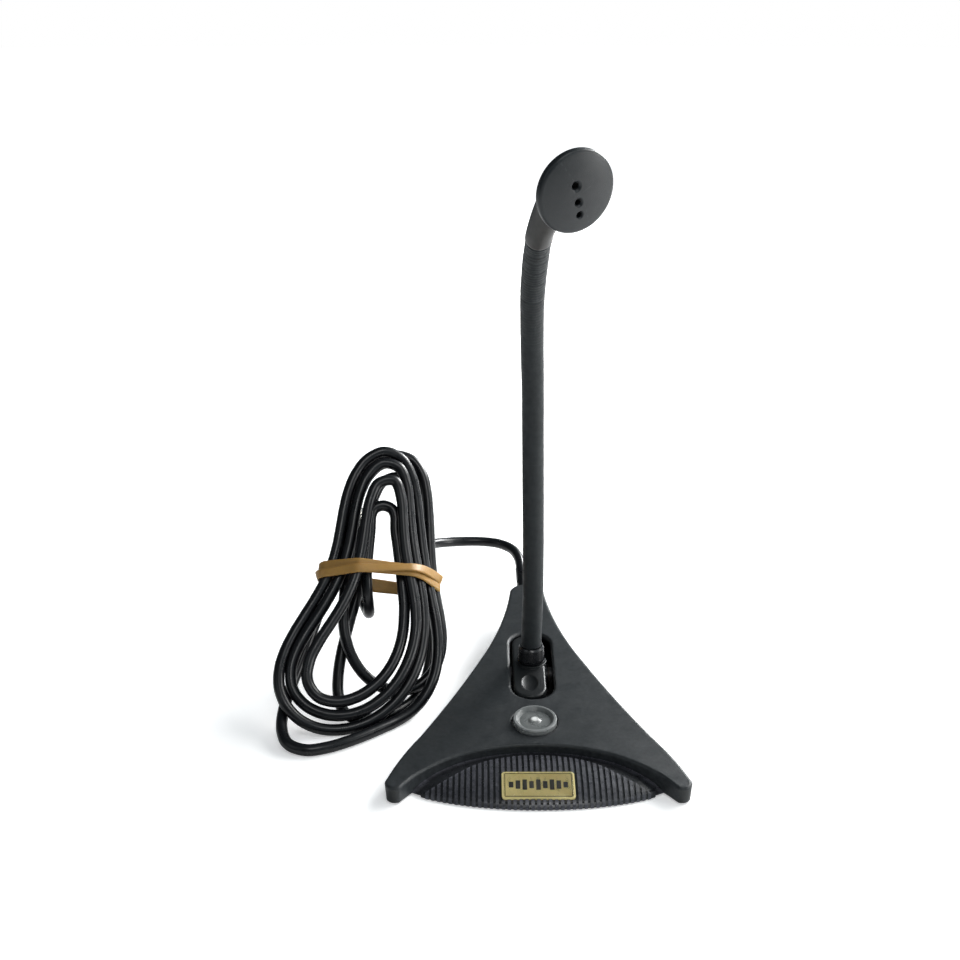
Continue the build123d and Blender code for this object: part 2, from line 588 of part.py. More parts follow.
# --------------------------------------------------------- coiled lead ----
# Centreline (x, y, z) from the strain relief, through the leaning loops, to the plug
cable_points = [
    (-1.56, 93.70, 18.30), (-2.44, 101.01, 20.41), (-5.34, 107.90, 21.83), (-11.15, 112.76, 22.52),
    (-18.49, 114.83, 22.71), (-26.12, 114.45, 22.98), (-33.28, 111.89, 23.74), (-39.21, 107.29, 25.12),
    (-43.26, 101.08, 26.96), (-45.49, 94.06, 29.03), (-46.48, 86.78, 31.21), (-46.71, 79.49, 33.52),
    (-46.43, 72.30, 36.16), (-45.72, 65.51, 39.62), (-44.74, 60.37, 45.11), (-44.41, 59.30, 52.59),
    (-45.45, 61.06, 59.96), (-47.81, 63.43, 66.84), (-52.82, 64.77, 72.29), (-59.50, 62.00, 71.53),
    (-63.01, 57.21, 66.75), (-64.45, 52.15, 61.19), (-64.99, 47.07, 55.49), (-65.46, 41.99, 49.77),
    (-66.35, 36.91, 44.11), (-67.72, 31.80, 38.57), (-69.40, 26.63, 33.17), (-71.13, 21.35, 27.89),
    (-72.70, 15.91, 22.73), (-73.87, 10.24, 17.71), (-74.42, 4.40, 12.78), (-73.91, -1.52, 7.96),
    (-71.08, -7.16, 3.75), (-64.28, -9.56, 2.06), (-57.05, -7.20, 2.05), (-51.07, -2.45, 2.05),
    (-46.36, 3.58, 2.19), (-42.85, 10.14, 3.92), (-40.56, 16.23, 7.92), (-39.31, 21.51, 13.31),
    (-38.91, 26.32, 19.26), (-39.20, 30.97, 25.34), (-39.90, 35.61, 31.40), (-40.68, 40.27, 37.43),
    (-41.25, 45.02, 43.41), (-41.45, 49.88, 49.33), (-41.42, 54.80, 55.20), (-41.69, 59.65, 61.12),
    (-43.49, 64.00, 67.14), (-47.67, 66.43, 73.00), (-53.49, 65.53, 77.78), (-60.02, 61.98, 78.88),
    (-65.01, 57.19, 75.71), (-68.06, 52.17, 70.81), (-69.78, 47.11, 65.33), (-70.72, 42.07, 59.64),
    (-71.33, 37.00, 53.92), (-71.93, 31.91, 48.23), (-72.58, 26.82, 42.54), (-73.06, 21.76, 36.81),
    (-72.98, 16.83, 30.95), (-71.81, 12.25, 24.93), (-69.15, 8.40, 18.88), (-64.78, 5.58, 13.29),
    (-58.76, 4.08, 8.85), (-51.51, 4.37, 6.54), (-44.34, 6.78, 7.23), (-38.84, 10.85, 10.59),
    (-35.78, 15.78, 15.55), (-35.05, 20.92, 21.16), (-35.88, 25.93, 26.89), (-37.33, 30.76, 32.66),
    (-38.66, 35.52, 38.51), (-39.56, 40.32, 44.42), (-40.10, 45.20, 50.30), (-40.53, 50.15, 56.13),
    (-41.01, 55.04, 62.01), (-41.83, 59.70, 68.03), (-43.72, 64.05, 74.04), (-48.22, 67.64, 78.96),
    (-55.47, 68.32, 80.84), (-62.29, 64.97, 80.79), (-67.35, 59.56, 78.96), (-70.69, 53.89, 75.09),
    (-72.69, 48.59, 69.94), (-73.96, 43.58, 64.28), (-75.08, 38.65, 58.53), (-76.37, 33.75, 52.79),
    (-77.90, 28.86, 47.09), (-79.66, 23.91, 41.51), (-81.59, 18.90, 36.05), (-83.67, 13.88, 30.64),
    (-85.88, 8.85, 25.31), (-88.17, 3.68, 20.13), (-90.41, -1.75, 15.22), (-92.34, -7.64, 10.72),
    (-93.40, -14.23, 6.99), (-92.77, -21.44, 4.52), (-89.63, -28.15, 2.86), (-82.80, -30.97, 2.08),
    (-75.40, -29.12, 2.05), (-68.74, -25.35, 2.05), (-62.64, -20.72, 2.05), (-56.87, -15.68, 2.05),
    (-51.27, -10.45, 2.10), (-45.86, -5.17, 3.24), (-41.22, 0.03, 6.38), (-38.02, 5.09, 11.12),
    (-36.48, 10.08, 16.71), (-36.39, 15.03, 22.55), (-37.32, 19.93, 28.37), (-38.76, 24.75, 34.14),
    (-40.33, 29.52, 39.93), (-41.78, 34.24, 45.79), (-42.99, 38.91, 51.74), (-43.96, 43.52, 57.78),
    (-44.81, 47.99, 63.95), (-45.86, 52.14, 70.30), (-47.85, 55.68, 76.79), (-51.86, 58.04, 82.81),
    (-58.71, 58.06, 85.74), (-65.33, 55.25, 83.44), (-69.68, 51.01, 78.82), (-72.26, 46.18, 73.47),
    (-73.72, 41.19, 67.85), (-74.72, 36.24, 62.09), (-75.82, 31.32, 56.32), (-77.50, 26.44, 50.65),
    (-80.03, 21.72, 45.18), (-83.31, 17.16, 39.98), (-86.98, 12.52, 35.11), (-90.55, 7.57, 30.48),
    (-93.49, 2.18, 25.90), (-95.19, -3.61, 21.20), (-94.92, -9.46, 16.29), (-92.02, -14.45, 11.31),
    (-86.76, -17.20, 6.55), (-79.90, -17.77, 3.26), (-72.42, -16.83, 2.03), (-65.08, -14.78, 2.57),
    (-58.35, -11.76, 4.59), (-52.58, -7.94, 7.86), (-47.98, -3.49, 12.05), (-44.61, 1.36, 16.92),
    (-42.51, 6.40, 22.28), (-41.63, 11.49, 27.94), (-41.77, 16.50, 33.72), (-42.67, 21.44, 39.51),
    (-44.00, 26.35, 45.24), (-45.44, 31.28, 50.92), (-46.70, 36.26, 56.61), (-47.60, 41.23, 62.37),
    (-48.26, 46.02, 68.31), (-49.31, 50.44, 74.47), (-52.47, 53.89, 80.45), (-59.46, 53.82, 82.17),
    (-64.74, 50.17, 78.17), (-67.61, 45.52, 72.82), (-69.18, 40.54, 67.22), (-70.16, 35.45, 61.57),
    (-71.22, 30.37, 55.94), (-72.87, 25.37, 50.38), (-75.36, 20.52, 45.00), (-78.60, 15.81, 39.90),
    (-82.28, 11.18, 35.04), (-86.03, 6.48, 30.29), (-89.28, 1.56, 25.39), (-91.11, -3.64, 20.11),
    (-89.99, -8.76, 14.60), (-85.20, -12.58, 10.11), (-78.30, -14.46, 7.47), (-70.70, -14.47, 6.77),
    (-63.36, -12.74, 7.96), (-56.98, -9.61, 10.78), (-51.90, -5.52, 14.77), (-48.13, -0.87, 19.54),
    (-45.65, 4.08, 24.83), (-44.50, 9.12, 30.47), (-44.65, 14.11, 36.27), (-45.79, 18.97, 42.09),
    (-47.36, 23.77, 47.85), (-48.81, 28.68, 53.55), (-49.82, 33.73, 59.22), (-50.39, 38.71, 65.01),
    (-51.13, 43.38, 71.04), (-53.79, 47.09, 77.09), (-60.19, 45.16, 76.88), (-63.19, 40.32, 71.82),
    (-64.45, 35.24, 66.23), (-65.20, 30.15, 60.55), (-66.14, 25.09, 54.88), (-67.70, 20.12, 49.26),
    (-70.08, 15.26, 43.84), (-73.26, 10.52, 38.74), (-77.02, 5.87, 33.95), (-80.85, 1.23, 29.21),
    (-83.86, -3.56, 24.06), (-84.41, -8.39, 18.21), (-80.22, -11.77, 13.02), (-72.91, -11.98, 11.09),
    (-65.65, -9.84, 12.02), (-59.46, -6.29, 14.74), (-54.65, -1.81, 18.66), (-51.38, 3.24, 23.38),
    (-49.63, 8.56, 28.59), (-49.14, 13.94, 34.02), (-49.53, 19.28, 39.50), (-52.05, 31.95, 53.00),
    (-53.35, 37.61, 59.35), (-53.60, 41.60, 63.85), (-54.99, 43.74, 66.46), (-58.35, 44.42, 67.73),
    (-61.71, 43.16, 67.02), (-63.10, 40.74, 64.69), (-63.25, 36.33, 59.91), (-63.75, 31.51, 54.13),
    (-64.25, 25.79, 46.44), (-63.95, 22.89, 39.20), (-63.55, 23.38, 32.55), (-64.05, 27.24, 28.77),
    (-65.85, 32.61, 29.11), (-67.55, 36.96, 32.69)]
cable_route = Spline(cable_points)
section_count = 2 * len(cable_points)
sections = []
section_x = Vector(1, 0, 0)            # carried from section to section, so nothing twists
for k in range(section_count + 1):
    point, tangent = cable_route @ (k / section_count), cable_route % (k / section_count)
    section_x = square_to(section_x, tangent)
    sections.append(circle_wire(Plane(origin=point, x_dir=section_x, z_dir=tangent), coil_r))
export_part("cable", Solid.make_loft(sections, ruled=True))

# lead inside the base, from the cable exit forward towards the board
inner_start = exit_center - exit_dir * 4.8
inner_route = Spline([
    (inner_start.X, inner_start.Y, inner_start.Z), (2.2, 59.5, 7.6), (4.3, 52.5, 6.2),
    (4.9, 47.0, 5.9), (6.0, 40.0, 5.8), (9.5, 28.0, 6.3), (12.6, 16.0, 6.8), (12.5, 5.0, 6.7),
    (11.6, -4.0, 6.7), (8.6, -11.5, 7.1), (7.0, -17.2, 7.4)])
inner_plane = Plane(origin=inner_route @ 0, z_dir=inner_route % 0)
export_part("inner_lead", main_solid(sweep(inner_plane * Circle(0.9), path=inner_route)))

# ------------------------------------------- rubber band round the coil ----
band_w, band_t = 5.0, 1.1
band_frame = Plane(origin=(-59.355, 29.359, 42.938), x_dir=(1, 0, 0),
                   z_dir=(0, 0.70007, 0.71407)).location
# inside of the band, (x, y) in its own frame, z along the bundle
band_inside = [
    (-23.12, -7.01), (-21.47, -9.25), (-18.64, -10.18), (-15.81, -11.12), (-12.98, -12.05),
    (-10.15, -12.98), (-7.26, -13.66), (-4.32, -13.17), (-1.40, -12.59), (1.52, -12.02),
    (4.45, -11.44), (7.37, -10.86), (10.30, -10.29), (13.16, -9.51), (15.43, -7.66),
    (17.42, -5.44), (19.03, -2.94), (20.54, -0.37), (21.89, 2.28), (22.94, 5.06), (23.87, 7.89),
    (22.87, 10.67), (21.64, 13.38), (19.29, 14.88), (16.41, 14.14), (13.53, 13.36),
    (10.65, 12.58), (7.78, 11.80), (4.90, 11.03), (2.02, 10.25), (-0.85, 9.47), (-3.73, 8.69),
    (-6.60, 7.91), (-9.48, 7.13), (-12.00, 5.56), (-14.44, 3.86), (-16.89, 2.15),
    (-19.33, 0.45), (-21.75, -1.29), (-22.65, -4.07)]


def band_wire(grow, z):
    points = []
    for i, (x, y) in enumerate(band_inside):
        before, after = band_inside[i - 1], band_inside[(i + 1) % len(band_inside)]
        run_x, run_y = after[0] - before[0], after[1] - before[1]
        run = hypot(run_x, run_y)
        points.append((x + run_y / run * grow, y - run_x / run * grow, z))
    return Wire([Spline(points, periodic=True)])


def band_block(grow, half_w):
    return Solid.make_loft([band_wire(grow, -half_w), band_wire(grow, half_w)], ruled=True)


band = band_block(band_t, band_w / 2) - band_block(0.0, band_w / 2 + 1)
export_part("cable_band", band_frame * main_solid(band))

# ---------------------------------------------------------------- plug ----
plug_frame = Plane(origin=(-67.555, 36.956, 32.689),
                   z_dir=(-0.06983, 0.69836, 0.71233)).location
jack_r = 1.75
body_z = 0.9                           # cable end of the plug body
jack_z = body_z + 26.0                 # shoulder where the jack starts
ring_z0, ring_z1 = jack_z + 7.2, jack_z + 9.6
insulator_h = 0.6
tip_z = ring_z1 + insulator_h


def jack_band(z0, z1):
    return plug_frame * turned([(0, z0), (jack_r, z0), (jack_r, z1), (0, z1)])


export_part("plug_body", plug_frame * turned([
    (0, body_z), (2.3, body_z), (2.9, body_z + 8.0), (4.0, body_z + 9.5), (4.3, body_z + 13.0),
    (4.3, body_z + 24.0), (3.9, jack_z), (0, jack_z)]))
export_part("plug_sleeve", jack_band(jack_z, ring_z0 - insulator_h))
export_part("plug_insulators", jack_band(ring_z0 - insulator_h, ring_z0),
            jack_band(ring_z1, tip_z))
export_part("plug_ring", jack_band(ring_z0, ring_z1))
export_part("plug_tip", plug_frame * turned([
    (0, tip_z), (jack_r, tip_z), (1.3, tip_z + 1.1), (1.3, tip_z + 1.5), (jack_r, tip_z + 2.4),
    (1.1, tip_z + 3.5), (0, tip_z + 3.8)]))
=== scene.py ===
"""A desk microphone: wide base, ribbed gooseneck, turned head, and its lead coiled on the left.

+Z is up, the front faces -Y, +X is to the right and the floor is z = 0.
Shapes are in millimetres and scaled by MM; shaders, lights and camera are in metres.
"""
import json
import math

import bpy
import numpy as np
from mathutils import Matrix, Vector


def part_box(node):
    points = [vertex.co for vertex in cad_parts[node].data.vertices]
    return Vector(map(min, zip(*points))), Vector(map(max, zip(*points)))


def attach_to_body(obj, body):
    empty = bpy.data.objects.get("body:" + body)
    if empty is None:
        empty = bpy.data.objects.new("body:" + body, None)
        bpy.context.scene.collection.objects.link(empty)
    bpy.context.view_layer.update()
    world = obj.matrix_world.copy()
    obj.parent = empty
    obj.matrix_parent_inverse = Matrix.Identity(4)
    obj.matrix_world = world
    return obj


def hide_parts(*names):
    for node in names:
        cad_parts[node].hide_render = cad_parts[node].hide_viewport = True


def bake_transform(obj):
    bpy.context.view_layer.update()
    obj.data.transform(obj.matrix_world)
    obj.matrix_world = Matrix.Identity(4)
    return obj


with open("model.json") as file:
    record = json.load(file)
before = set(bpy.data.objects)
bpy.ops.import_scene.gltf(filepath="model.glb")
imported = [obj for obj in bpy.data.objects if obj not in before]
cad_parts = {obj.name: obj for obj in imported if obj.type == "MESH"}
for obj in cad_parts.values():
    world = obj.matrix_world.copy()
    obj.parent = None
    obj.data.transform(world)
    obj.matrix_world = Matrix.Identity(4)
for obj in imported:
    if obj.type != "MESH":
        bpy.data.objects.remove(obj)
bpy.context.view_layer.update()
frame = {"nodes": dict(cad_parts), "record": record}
MM = 0.001
TAU = 2 * math.pi
X_AXIS = np.array([1.0, 0.0, 0.0])


# ---------------------------------------------------------------- curves --
def unit(vector):
    vector = np.asarray(vector, float)
    return vector / np.linalg.norm(vector)


def smooth(t):
    t = np.clip(t, 0.0, 1.0)
    return t * t * (3 - 2 * t)


def wave(x, seed):
    """Smooth repeatable wander between about -1 and 1 along x."""
    draw = np.random.default_rng(seed)
    y = np.zeros_like(np.asarray(x, float))
    for k in range(1, 6):
        y = y + np.sin(x * k * 1.37 + draw.uniform(0, 6.28)) * draw.uniform(0.4, 1.0) / k
    return y / 1.6


def even_curve(points, step, closed=False):
    """Evenly spaced points on a Catmull-Rom curve through points, and the curve's length."""
    p = list(np.asarray(points, float))
    if closed:
        padded = [p[-1], *p, p[0], p[1]]
    else:
        padded = [2 * p[0] - p[1], *p, 2 * p[-1] - p[-2]]
    curve = []
    for a, b, c, d in zip(padded, padded[1:], padded[2:], padded[3:]):
        for t in np.arange(12) / 12.0:
            curve.append(0.5 * ((2 * b) + (c - a) * t + (2 * a - 5 * b + 4 * c - d) * t * t
                                + (3 * b - a - 3 * c + d) * t ** 3))
    curve = np.array(curve + [padded[-2]])
    along = np.r_[0, np.cumsum(np.linalg.norm(np.diff(curve, axis=0), axis=1))]
    steps = max(int(round(along[-1] / step)), 8)
    stations = np.linspace(0, along[-1], steps + 1)
    even = np.column_stack([np.interp(stations, along, curve[:, j]) for j in range(3)])
    return (even[:-1] if closed else even), along[-1]


# ---------------------------------------------------------------- meshes --
def circle(count):
    return np.arange(count) * 2 * math.pi / count


def ring_on(centre, x, y, radius, angles):
    return (centre + x * (np.cos(angles) * radius)[:, None]
            + y * (np.sin(angles) * radius)[:, None])


def ring(centre, axis, radius, angles):
    """Ring square to axis, with angle 0 towards +X."""
    x = unit(X_AXIS - axis * np.dot(X_AXIS, axis))
    return ring_on(centre, x, np.cross(axis, x), radius, angles)


def neighbours(count):
    return [(j, (j + 1) % count) for j in range(count)]


def grid_faces(rows, columns, closed=False):
    """Quads between rings of vertices; closed joins the last ring to the first."""
    faces = []
    for i in range(rows if closed else rows - 1):
        a, b = i * columns, ((i + 1) % rows) * columns
        faces += [(a + j, a + k, b + k, b + j) for j, k in neighbours(columns)]
    return faces


def tube_faces(rows, columns):
    """A tube whose two end centres are the last two vertices."""
    faces = grid_faces(rows, columns)
    start = rows * columns
    last = start - columns
    for j, k in neighbours(columns):
        faces.append((start, k, j))
        faces.append((start + 1, last + j, last + k))
    return faces


def disc_faces(rings, columns):
    """Rings growing out from a centre, which is vertex 0."""
    faces = [(0, 1 + j, 1 + k) for j, k in neighbours(columns)]
    for i in range(rings - 1):
        a = 1 + i * columns
        b = a + columns
        faces += [(a + j, b + j, b + k, a + k) for j, k in neighbours(columns)]
    return faces


def add_mesh(name, verts, faces, surface, sharp=35.0):
    """Smooth-shaded object from millimetre vertices; edges over sharp degrees stay hard."""
    mesh = bpy.data.meshes.new(name)
    mesh.from_pydata([tuple(v) for v in np.asarray(verts, float) * MM], [],
                     [tuple(int(i) for i in f) for f in faces])
    mesh.validate()
    mesh.update()
    mesh.shade_smooth()
    if sharp < 180:
        mesh.set_sharp_from_angle(angle=math.radians(sharp))
    piece = bpy.data.objects.new(name, mesh)
    bpy.context.scene.collection.objects.link(piece)
    mesh.materials.append(SURFACES[surface].material)
    return piece


def attach(piece, body, slot, *replaced):
    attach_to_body(piece, body)
    if replaced:
        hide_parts(*replaced)


# --------------------------------------------------------------- shaders --
class Nodes:
    """Short calls for building a shader tree from empty."""

    def __init__(self, owner):
        owner.use_nodes = True
        self.tree = owner.node_tree
        self.tree.nodes.clear()

    def node(self, kind):
        return self.tree.nodes.new("ShaderNode" + kind)

    def feed(self, socket, value):
        """Link an output socket to an input, or set the input to a plain value."""
        if isinstance(value, bpy.types.NodeSocket):
            self.tree.links.new(value, socket)
        else:
            socket.default_value = value

    def math(self, operation, a, b):
        node = self.node("Math")
        node.operation = operation
        self.feed(node.inputs[0], a)
        self.feed(node.inputs[1], b)
        return node.outputs[0]

    def multiply(self, a, b):
        return self.math("MULTIPLY", a, b)

    def vector_math(self, operation, vector, constant=None):
        node = self.node("VectorMath")
        node.operation = operation
        self.feed(node.inputs[0], vector)
        if constant:
            node.inputs[1].default_value = constant
        return node.outputs["Value" if operation == "LENGTH" else "Vector"]

    def map_range(self, value, source, target, interpolation="LINEAR"):
        """Map the (min, max) range source onto target."""
        node = self.node("MapRange")
        node.interpolation_type = interpolation
        for socket, number in zip(node.inputs, (value, *source, *target)):
            self.feed(socket, number)
        return node.outputs[0]

    def ramp(self, value, stops):
        """Colour ramp through (position, colour) stops."""
        node = self.node("ValToRGB")
        elements = node.color_ramp.elements
        for element, (position, color) in ((elements[0], stops[0]), (elements[1], stops[-1])):
            element.position = position
            element.color = (*color, 1)
        for position, color in stops[1:-1]:
            elements.new(position).color = (*color, 1)
        self.feed(node.inputs[0], value)
        return node.outputs[0]

    def mix(self, factor, under, over):
        """Lay the plain colour over on the socket under."""
        node = self.node("Mix")
        node.data_type = "RGBA"
        # inputs 6 and 7 and output 2 are the colour sockets
        self.feed(node.inputs[0], factor)
        self.feed(node.inputs[6], under)
        self.feed(node.inputs[7], (*over, 1))
        return node.outputs[2]


class Surface(Nodes):
    """A material with patchy colour, uneven roughness and two scales of bump.

    Scales are noise frequencies per metre, bump_depth and bevel are metres, and
    speck, edge wear (on the grille a painted highlight) and dust are strengths. Without a colour,
    the caller must set one.
    """

    def __init__(self, name, rough, color=None, metallic=0.0, variation=0.25, patch_scale=120.0,
                 grain_scale=2600.0, grain_bump=0.12, broad_scale=180.0, broad_bump=0.05,
                 bump_depth=0.0004, rough_spread=0.08, coat=0.0, coat_rough=0.2, edge_wear_and_highlight=0.25,
                 edge_wear_and_highlight_color=None, specular=0.5, dust=0.0, speck=0.0, bevel=0.0,
                 transmission=0.0, ior=1.48):
        self.material = bpy.data.materials.new(name)
        super().__init__(self.material)
        shader = self.node("BsdfPrincipled")
        self.inputs = shader.inputs
        self.feed(self.node("OutputMaterial").inputs[0], shader.outputs[0])
        self.coords = self.node("TexCoord").outputs["Object"]
        if color:
            base = np.array(color, float)
            self.set_color(self.patchy(base, variation, patch_scale))
            if speck > 0:
                self.add_specks(base, speck, grain_scale * 0.5)
            # lighter convex edges: wear, and on the grille ribs a painted highlight
            if edge_wear_and_highlight > 0:
                self.add_edge_wear_and_highlight(edge_wear_and_highlight_color or np.minimum(base * 1.9 + 0.015, 1.0), edge_wear_and_highlight)
            if dust > 0:
                self.add_dust(dust)
        rough_range = (max(rough - rough_spread, 0.02), min(rough + rough_spread, 1.0))
        patches = self.noise(patch_scale * 3.0, 4.0)
        self.feed(self.inputs["Roughness"], self.map_range(patches, (0.3, 0.7), rough_range))
        self.inputs["Metallic"].default_value = metallic
        self.inputs["Specular IOR Level"].default_value = specular
        if coat > 0:
            self.inputs["Coat Weight"].default_value = coat
            self.inputs["Coat Roughness"].default_value = coat_rough
        if transmission > 0:
            self.inputs["Transmission Weight"].default_value = transmission
            self.inputs["IOR"].default_value = ior
        height = self.math("ADD", self.multiply(self.noise(grain_scale, 3.0), grain_bump),
                           self.multiply(self.noise(broad_scale, 3.0), broad_bump))
        self.add_bump(height, bump_depth, bevel)

    def noise(self, scale, detail):
        node = self.node("TexNoise")
        node.inputs["Scale"].default_value = scale
        node.inputs["Detail"].default_value = detail
        self.feed(node.inputs["Vector"], self.coords)
        return node.outputs[0]

    def set_color(self, color):
        self.color = color
        self.feed(self.inputs["Base Color"], color)

    def patchy(self, base, variation, scale):
        blend = self.math("ADD", self.multiply(self.noise(scale, 4.0), 0.65),
                          self.multiply(self.noise(scale * 9.0, 3.0), 0.35))
        return self.ramp(blend, [(0.30, base * (1 - variation)), (0.70, base * (1 + variation))])

    def add_specks(self, base, strength, scale):
        spots = self.ramp(self.noise(scale, 2.0), [(0.66, (0, 0, 0)), (0.74, (1, 1, 1))])
        self.set_color(self.mix(self.multiply(spots, strength), self.color,
                                np.minimum(base * 2.6 + 0.02, 1.0)))

    def add_edge_wear_and_highlight(self, color, strength):
        """Broken lightening along convex edges: wear, and on the grille ribs a painted highlight."""
        edges = self.ramp(self.node("NewGeometry").outputs["Pointiness"],
                          [(0.515, (0, 0, 0)), (0.60, (1, 1, 1))])
        broken = self.multiply(edges, self.noise(700.0, 3.0))
        self.set_color(self.mix(self.multiply(broken, strength * 2.0), self.color, color))

    def add_dust(self, strength):
        """Grey dust on faces that look up."""
        split = self.node("SeparateXYZ")
        self.feed(split.inputs[0], self.node("NewGeometry").outputs["Normal"])
        upward = self.node("Clamp")
        self.feed(upward.inputs[0], split.outputs[2])
        settled = self.multiply(upward.outputs[0], self.noise(420.0, 5.0))
        self.set_color(self.mix(self.multiply(settled, strength), self.color, (0.30,) * 3))

    def add_bump(self, height, depth, bevel):
        bump = self.node("Bump")
        bump.inputs["Distance"].default_value = depth
        bump.inputs["Strength"].default_value = 1.0
        self.feed(bump.inputs["Height"], height)
        if bevel > 0:
            rounding = self.node("Bevel")
            rounding.samples = 6
            rounding.inputs["Radius"].default_value = bevel
            self.feed(bump.inputs["Normal"], rounding.outputs[0])
        self.feed(self.inputs["Normal"], bump.outputs[0])


SURFACE_SETTINGS = {
    "shell_black": dict(
        color=(0.0055, 0.0072, 0.0080), rough=0.40, variation=0.10, patch_scale=60,
        grain_scale=5200, grain_bump=0.30, broad_scale=900, broad_bump=0.06, bump_depth=0.00008,
        specular=0.40, edge_wear_and_highlight=0.5, edge_wear_and_highlight_color=(0.05, 0.055, 0.06), speck=0.03, rough_spread=0.05,
        bevel=0.0011),
    "plate_black": dict(color=(0.02, 0.02, 0.021), rough=0.6, grain_bump=0.3, bump_depth=0.0001),
    "foot_rubber": dict(
        color=(0.03, 0.03, 0.03), rough=0.85, grain_bump=0.4, bump_depth=0.0001, dust=0.4),
    "screw_steel": dict(
        color=(0.42, 0.42, 0.43), rough=0.32, metallic=1.0, variation=0.12, grain_bump=0.1,
        bump_depth=0.00005),
    "ballast_iron": dict(
        color=(0.20, 0.18, 0.16), rough=0.7, metallic=0.8, variation=0.3, broad_bump=0.3,
        bump_depth=0.0003),
    # lighter rib edges: a painted highlight where the rib tops catch light
    "grille_black": dict(
        color=(0.0080, 0.0085, 0.0105), rough=0.32, variation=0.15, patch_scale=200,
        grain_scale=3000, grain_bump=0.15, bump_depth=0.00008, edge_wear_and_highlight=0.9,
        edge_wear_and_highlight_color=(0.085, 0.085, 0.10), specular=0.6),
    "badge_gold": dict(
        color=(0.72, 0.61, 0.27), rough=0.42, metallic=0.10, variation=0.08, patch_scale=90,
        grain_scale=4000, grain_bump=0.15, bump_depth=0.00005, edge_wear_and_highlight=0.0),
    "switch_white": dict(color=(0.7, 0.7, 0.68), rough=0.5),
    "switch_black": dict(color=(0.03, 0.03, 0.03), rough=0.5),
    "board_green": dict(color=(0.02, 0.12, 0.05), rough=0.35, variation=0.3, coat=0.4),
    "header_white": dict(color=(0.75, 0.74, 0.7), rough=0.5),
    "chip_grey": dict(color=(0.06, 0.055, 0.05), rough=0.55),
    "spring_steel": dict(color=(0.55, 0.55, 0.55), rough=0.25, metallic=1.0, variation=0.08),
    "bracket_zinc": dict(
        color=(0.035, 0.035, 0.036), rough=0.5, metallic=0.6, variation=0.18, patch_scale=400),
    "pin_steel": dict(color=(0.09, 0.09, 0.095), rough=0.4, metallic=0.9, variation=0.08),
    "washer_fibre": dict(color=(0.05, 0.03, 0.022), rough=0.75, variation=0.3),
    "foot_black": dict(
        color=(0.0075, 0.0088, 0.0095), rough=0.36, variation=0.10, patch_scale=60,
        grain_scale=5200, grain_bump=0.25, broad_bump=0.03, bump_depth=0.00006, edge_wear_and_highlight=0.12,
        specular=0.32, rough_spread=0.03, bevel=0.0006),
    "collar_black": dict(
        color=(0.006, 0.006, 0.0075), rough=0.26, variation=0.10, grain_bump=0.03,
        broad_bump=0.02, bump_depth=0.00004, coat=0.12, coat_rough=0.15, edge_wear_and_highlight=0.12,
        rough_spread=0.03),
    "head_charcoal": dict(
        color=(0.034, 0.031, 0.029), rough=0.42, variation=0.18, patch_scale=90,
        grain_scale=4600, grain_bump=0.28, bump_depth=0.0001, edge_wear_and_highlight=0.5, specular=0.55),
    "cover_charcoal": dict(
        color=(0.0075, 0.0100, 0.0122), rough=0.38, variation=0.16, patch_scale=90,
        grain_scale=4600, grain_bump=0.30, bump_depth=0.0001, edge_wear_and_highlight=0.5, specular=0.55,
        speck=0.06),
    "screen_cloth": dict(
        color=(0.006, 0.006, 0.006), rough=0.95, grain_scale=6000, grain_bump=0.8,
        bump_depth=0.0002, edge_wear_and_highlight=0),
    "capsule_can": dict(color=(0.6, 0.6, 0.6), rough=0.3, metallic=1.0),
    "holder_rubber": dict(color=(0.025, 0.025, 0.025), rough=0.85),
    "sleeve_black": dict(
        color=(0.0092, 0.0128, 0.0145), rough=0.58, variation=0.22, patch_scale=150,
        grain_scale=3600, grain_bump=0.5, broad_scale=500, broad_bump=0.2, bump_depth=0.00014,
        edge_wear_and_highlight=0.25, specular=0.45, dust=0.05),
    "neck_steel": dict(color=(0.4, 0.4, 0.4), rough=0.35, metallic=1.0),
    "cable_black": dict(
        color=(0.0035, 0.0038, 0.0050), rough=0.30, variation=0.3, patch_scale=70,
        grain_scale=1500, grain_bump=0.02, broad_scale=160, broad_bump=0.05, bump_depth=0.00006,
        coat=0.08, coat_rough=0.12, edge_wear_and_highlight=0.0, specular=0.36, dust=0.004, rough_spread=0.05),
    "band_tan": dict(
        color=(0.31, 0.158, 0.029), rough=0.44, variation=0.22, patch_scale=130,
        grain_scale=2600, grain_bump=0.35, broad_scale=380, broad_bump=0.3, bump_depth=0.00025,
        edge_wear_and_highlight=0.0, specular=0.4),
    "plug_black": dict(color=(0.016, 0.016, 0.018), rough=0.42, grain_bump=0.3, bump_depth=0.0001),
    "contact_plate": dict(
        color=(0.68, 0.65, 0.58), rough=0.18, metallic=1.0, variation=0.06, bump_depth=0.00003),
    "insulator_black": dict(color=(0.02, 0.02, 0.02), rough=0.4),
    "badge_ink": dict(color=(0.012, 0.011, 0.010), rough=0.5, edge_wear_and_highlight=0.0),
    "badge_resin": dict(
        color=(0.99, 0.98, 0.94), rough=0.03, transmission=1.0, ior=1.22, variation=0.06,
        grain_scale=500, grain_bump=0.02, bump_depth=0.00002, edge_wear_and_highlight=0.0),
    "led_clear": dict(
        color=(0.95, 0.97, 0.95), rough=0.1, transmission=0.9, variation=0.06,
        grain_scale=900, grain_bump=0.1, bump_depth=0.00004, edge_wear_and_highlight=0.0),
    "button_frost": dict(
        rough=0.32, transmission=0.35, grain_scale=2200, grain_bump=0.35, bump_depth=0.00012),
}
SURFACES = {name: Surface(name, **kw) for name, kw in SURFACE_SETTINGS.items()}


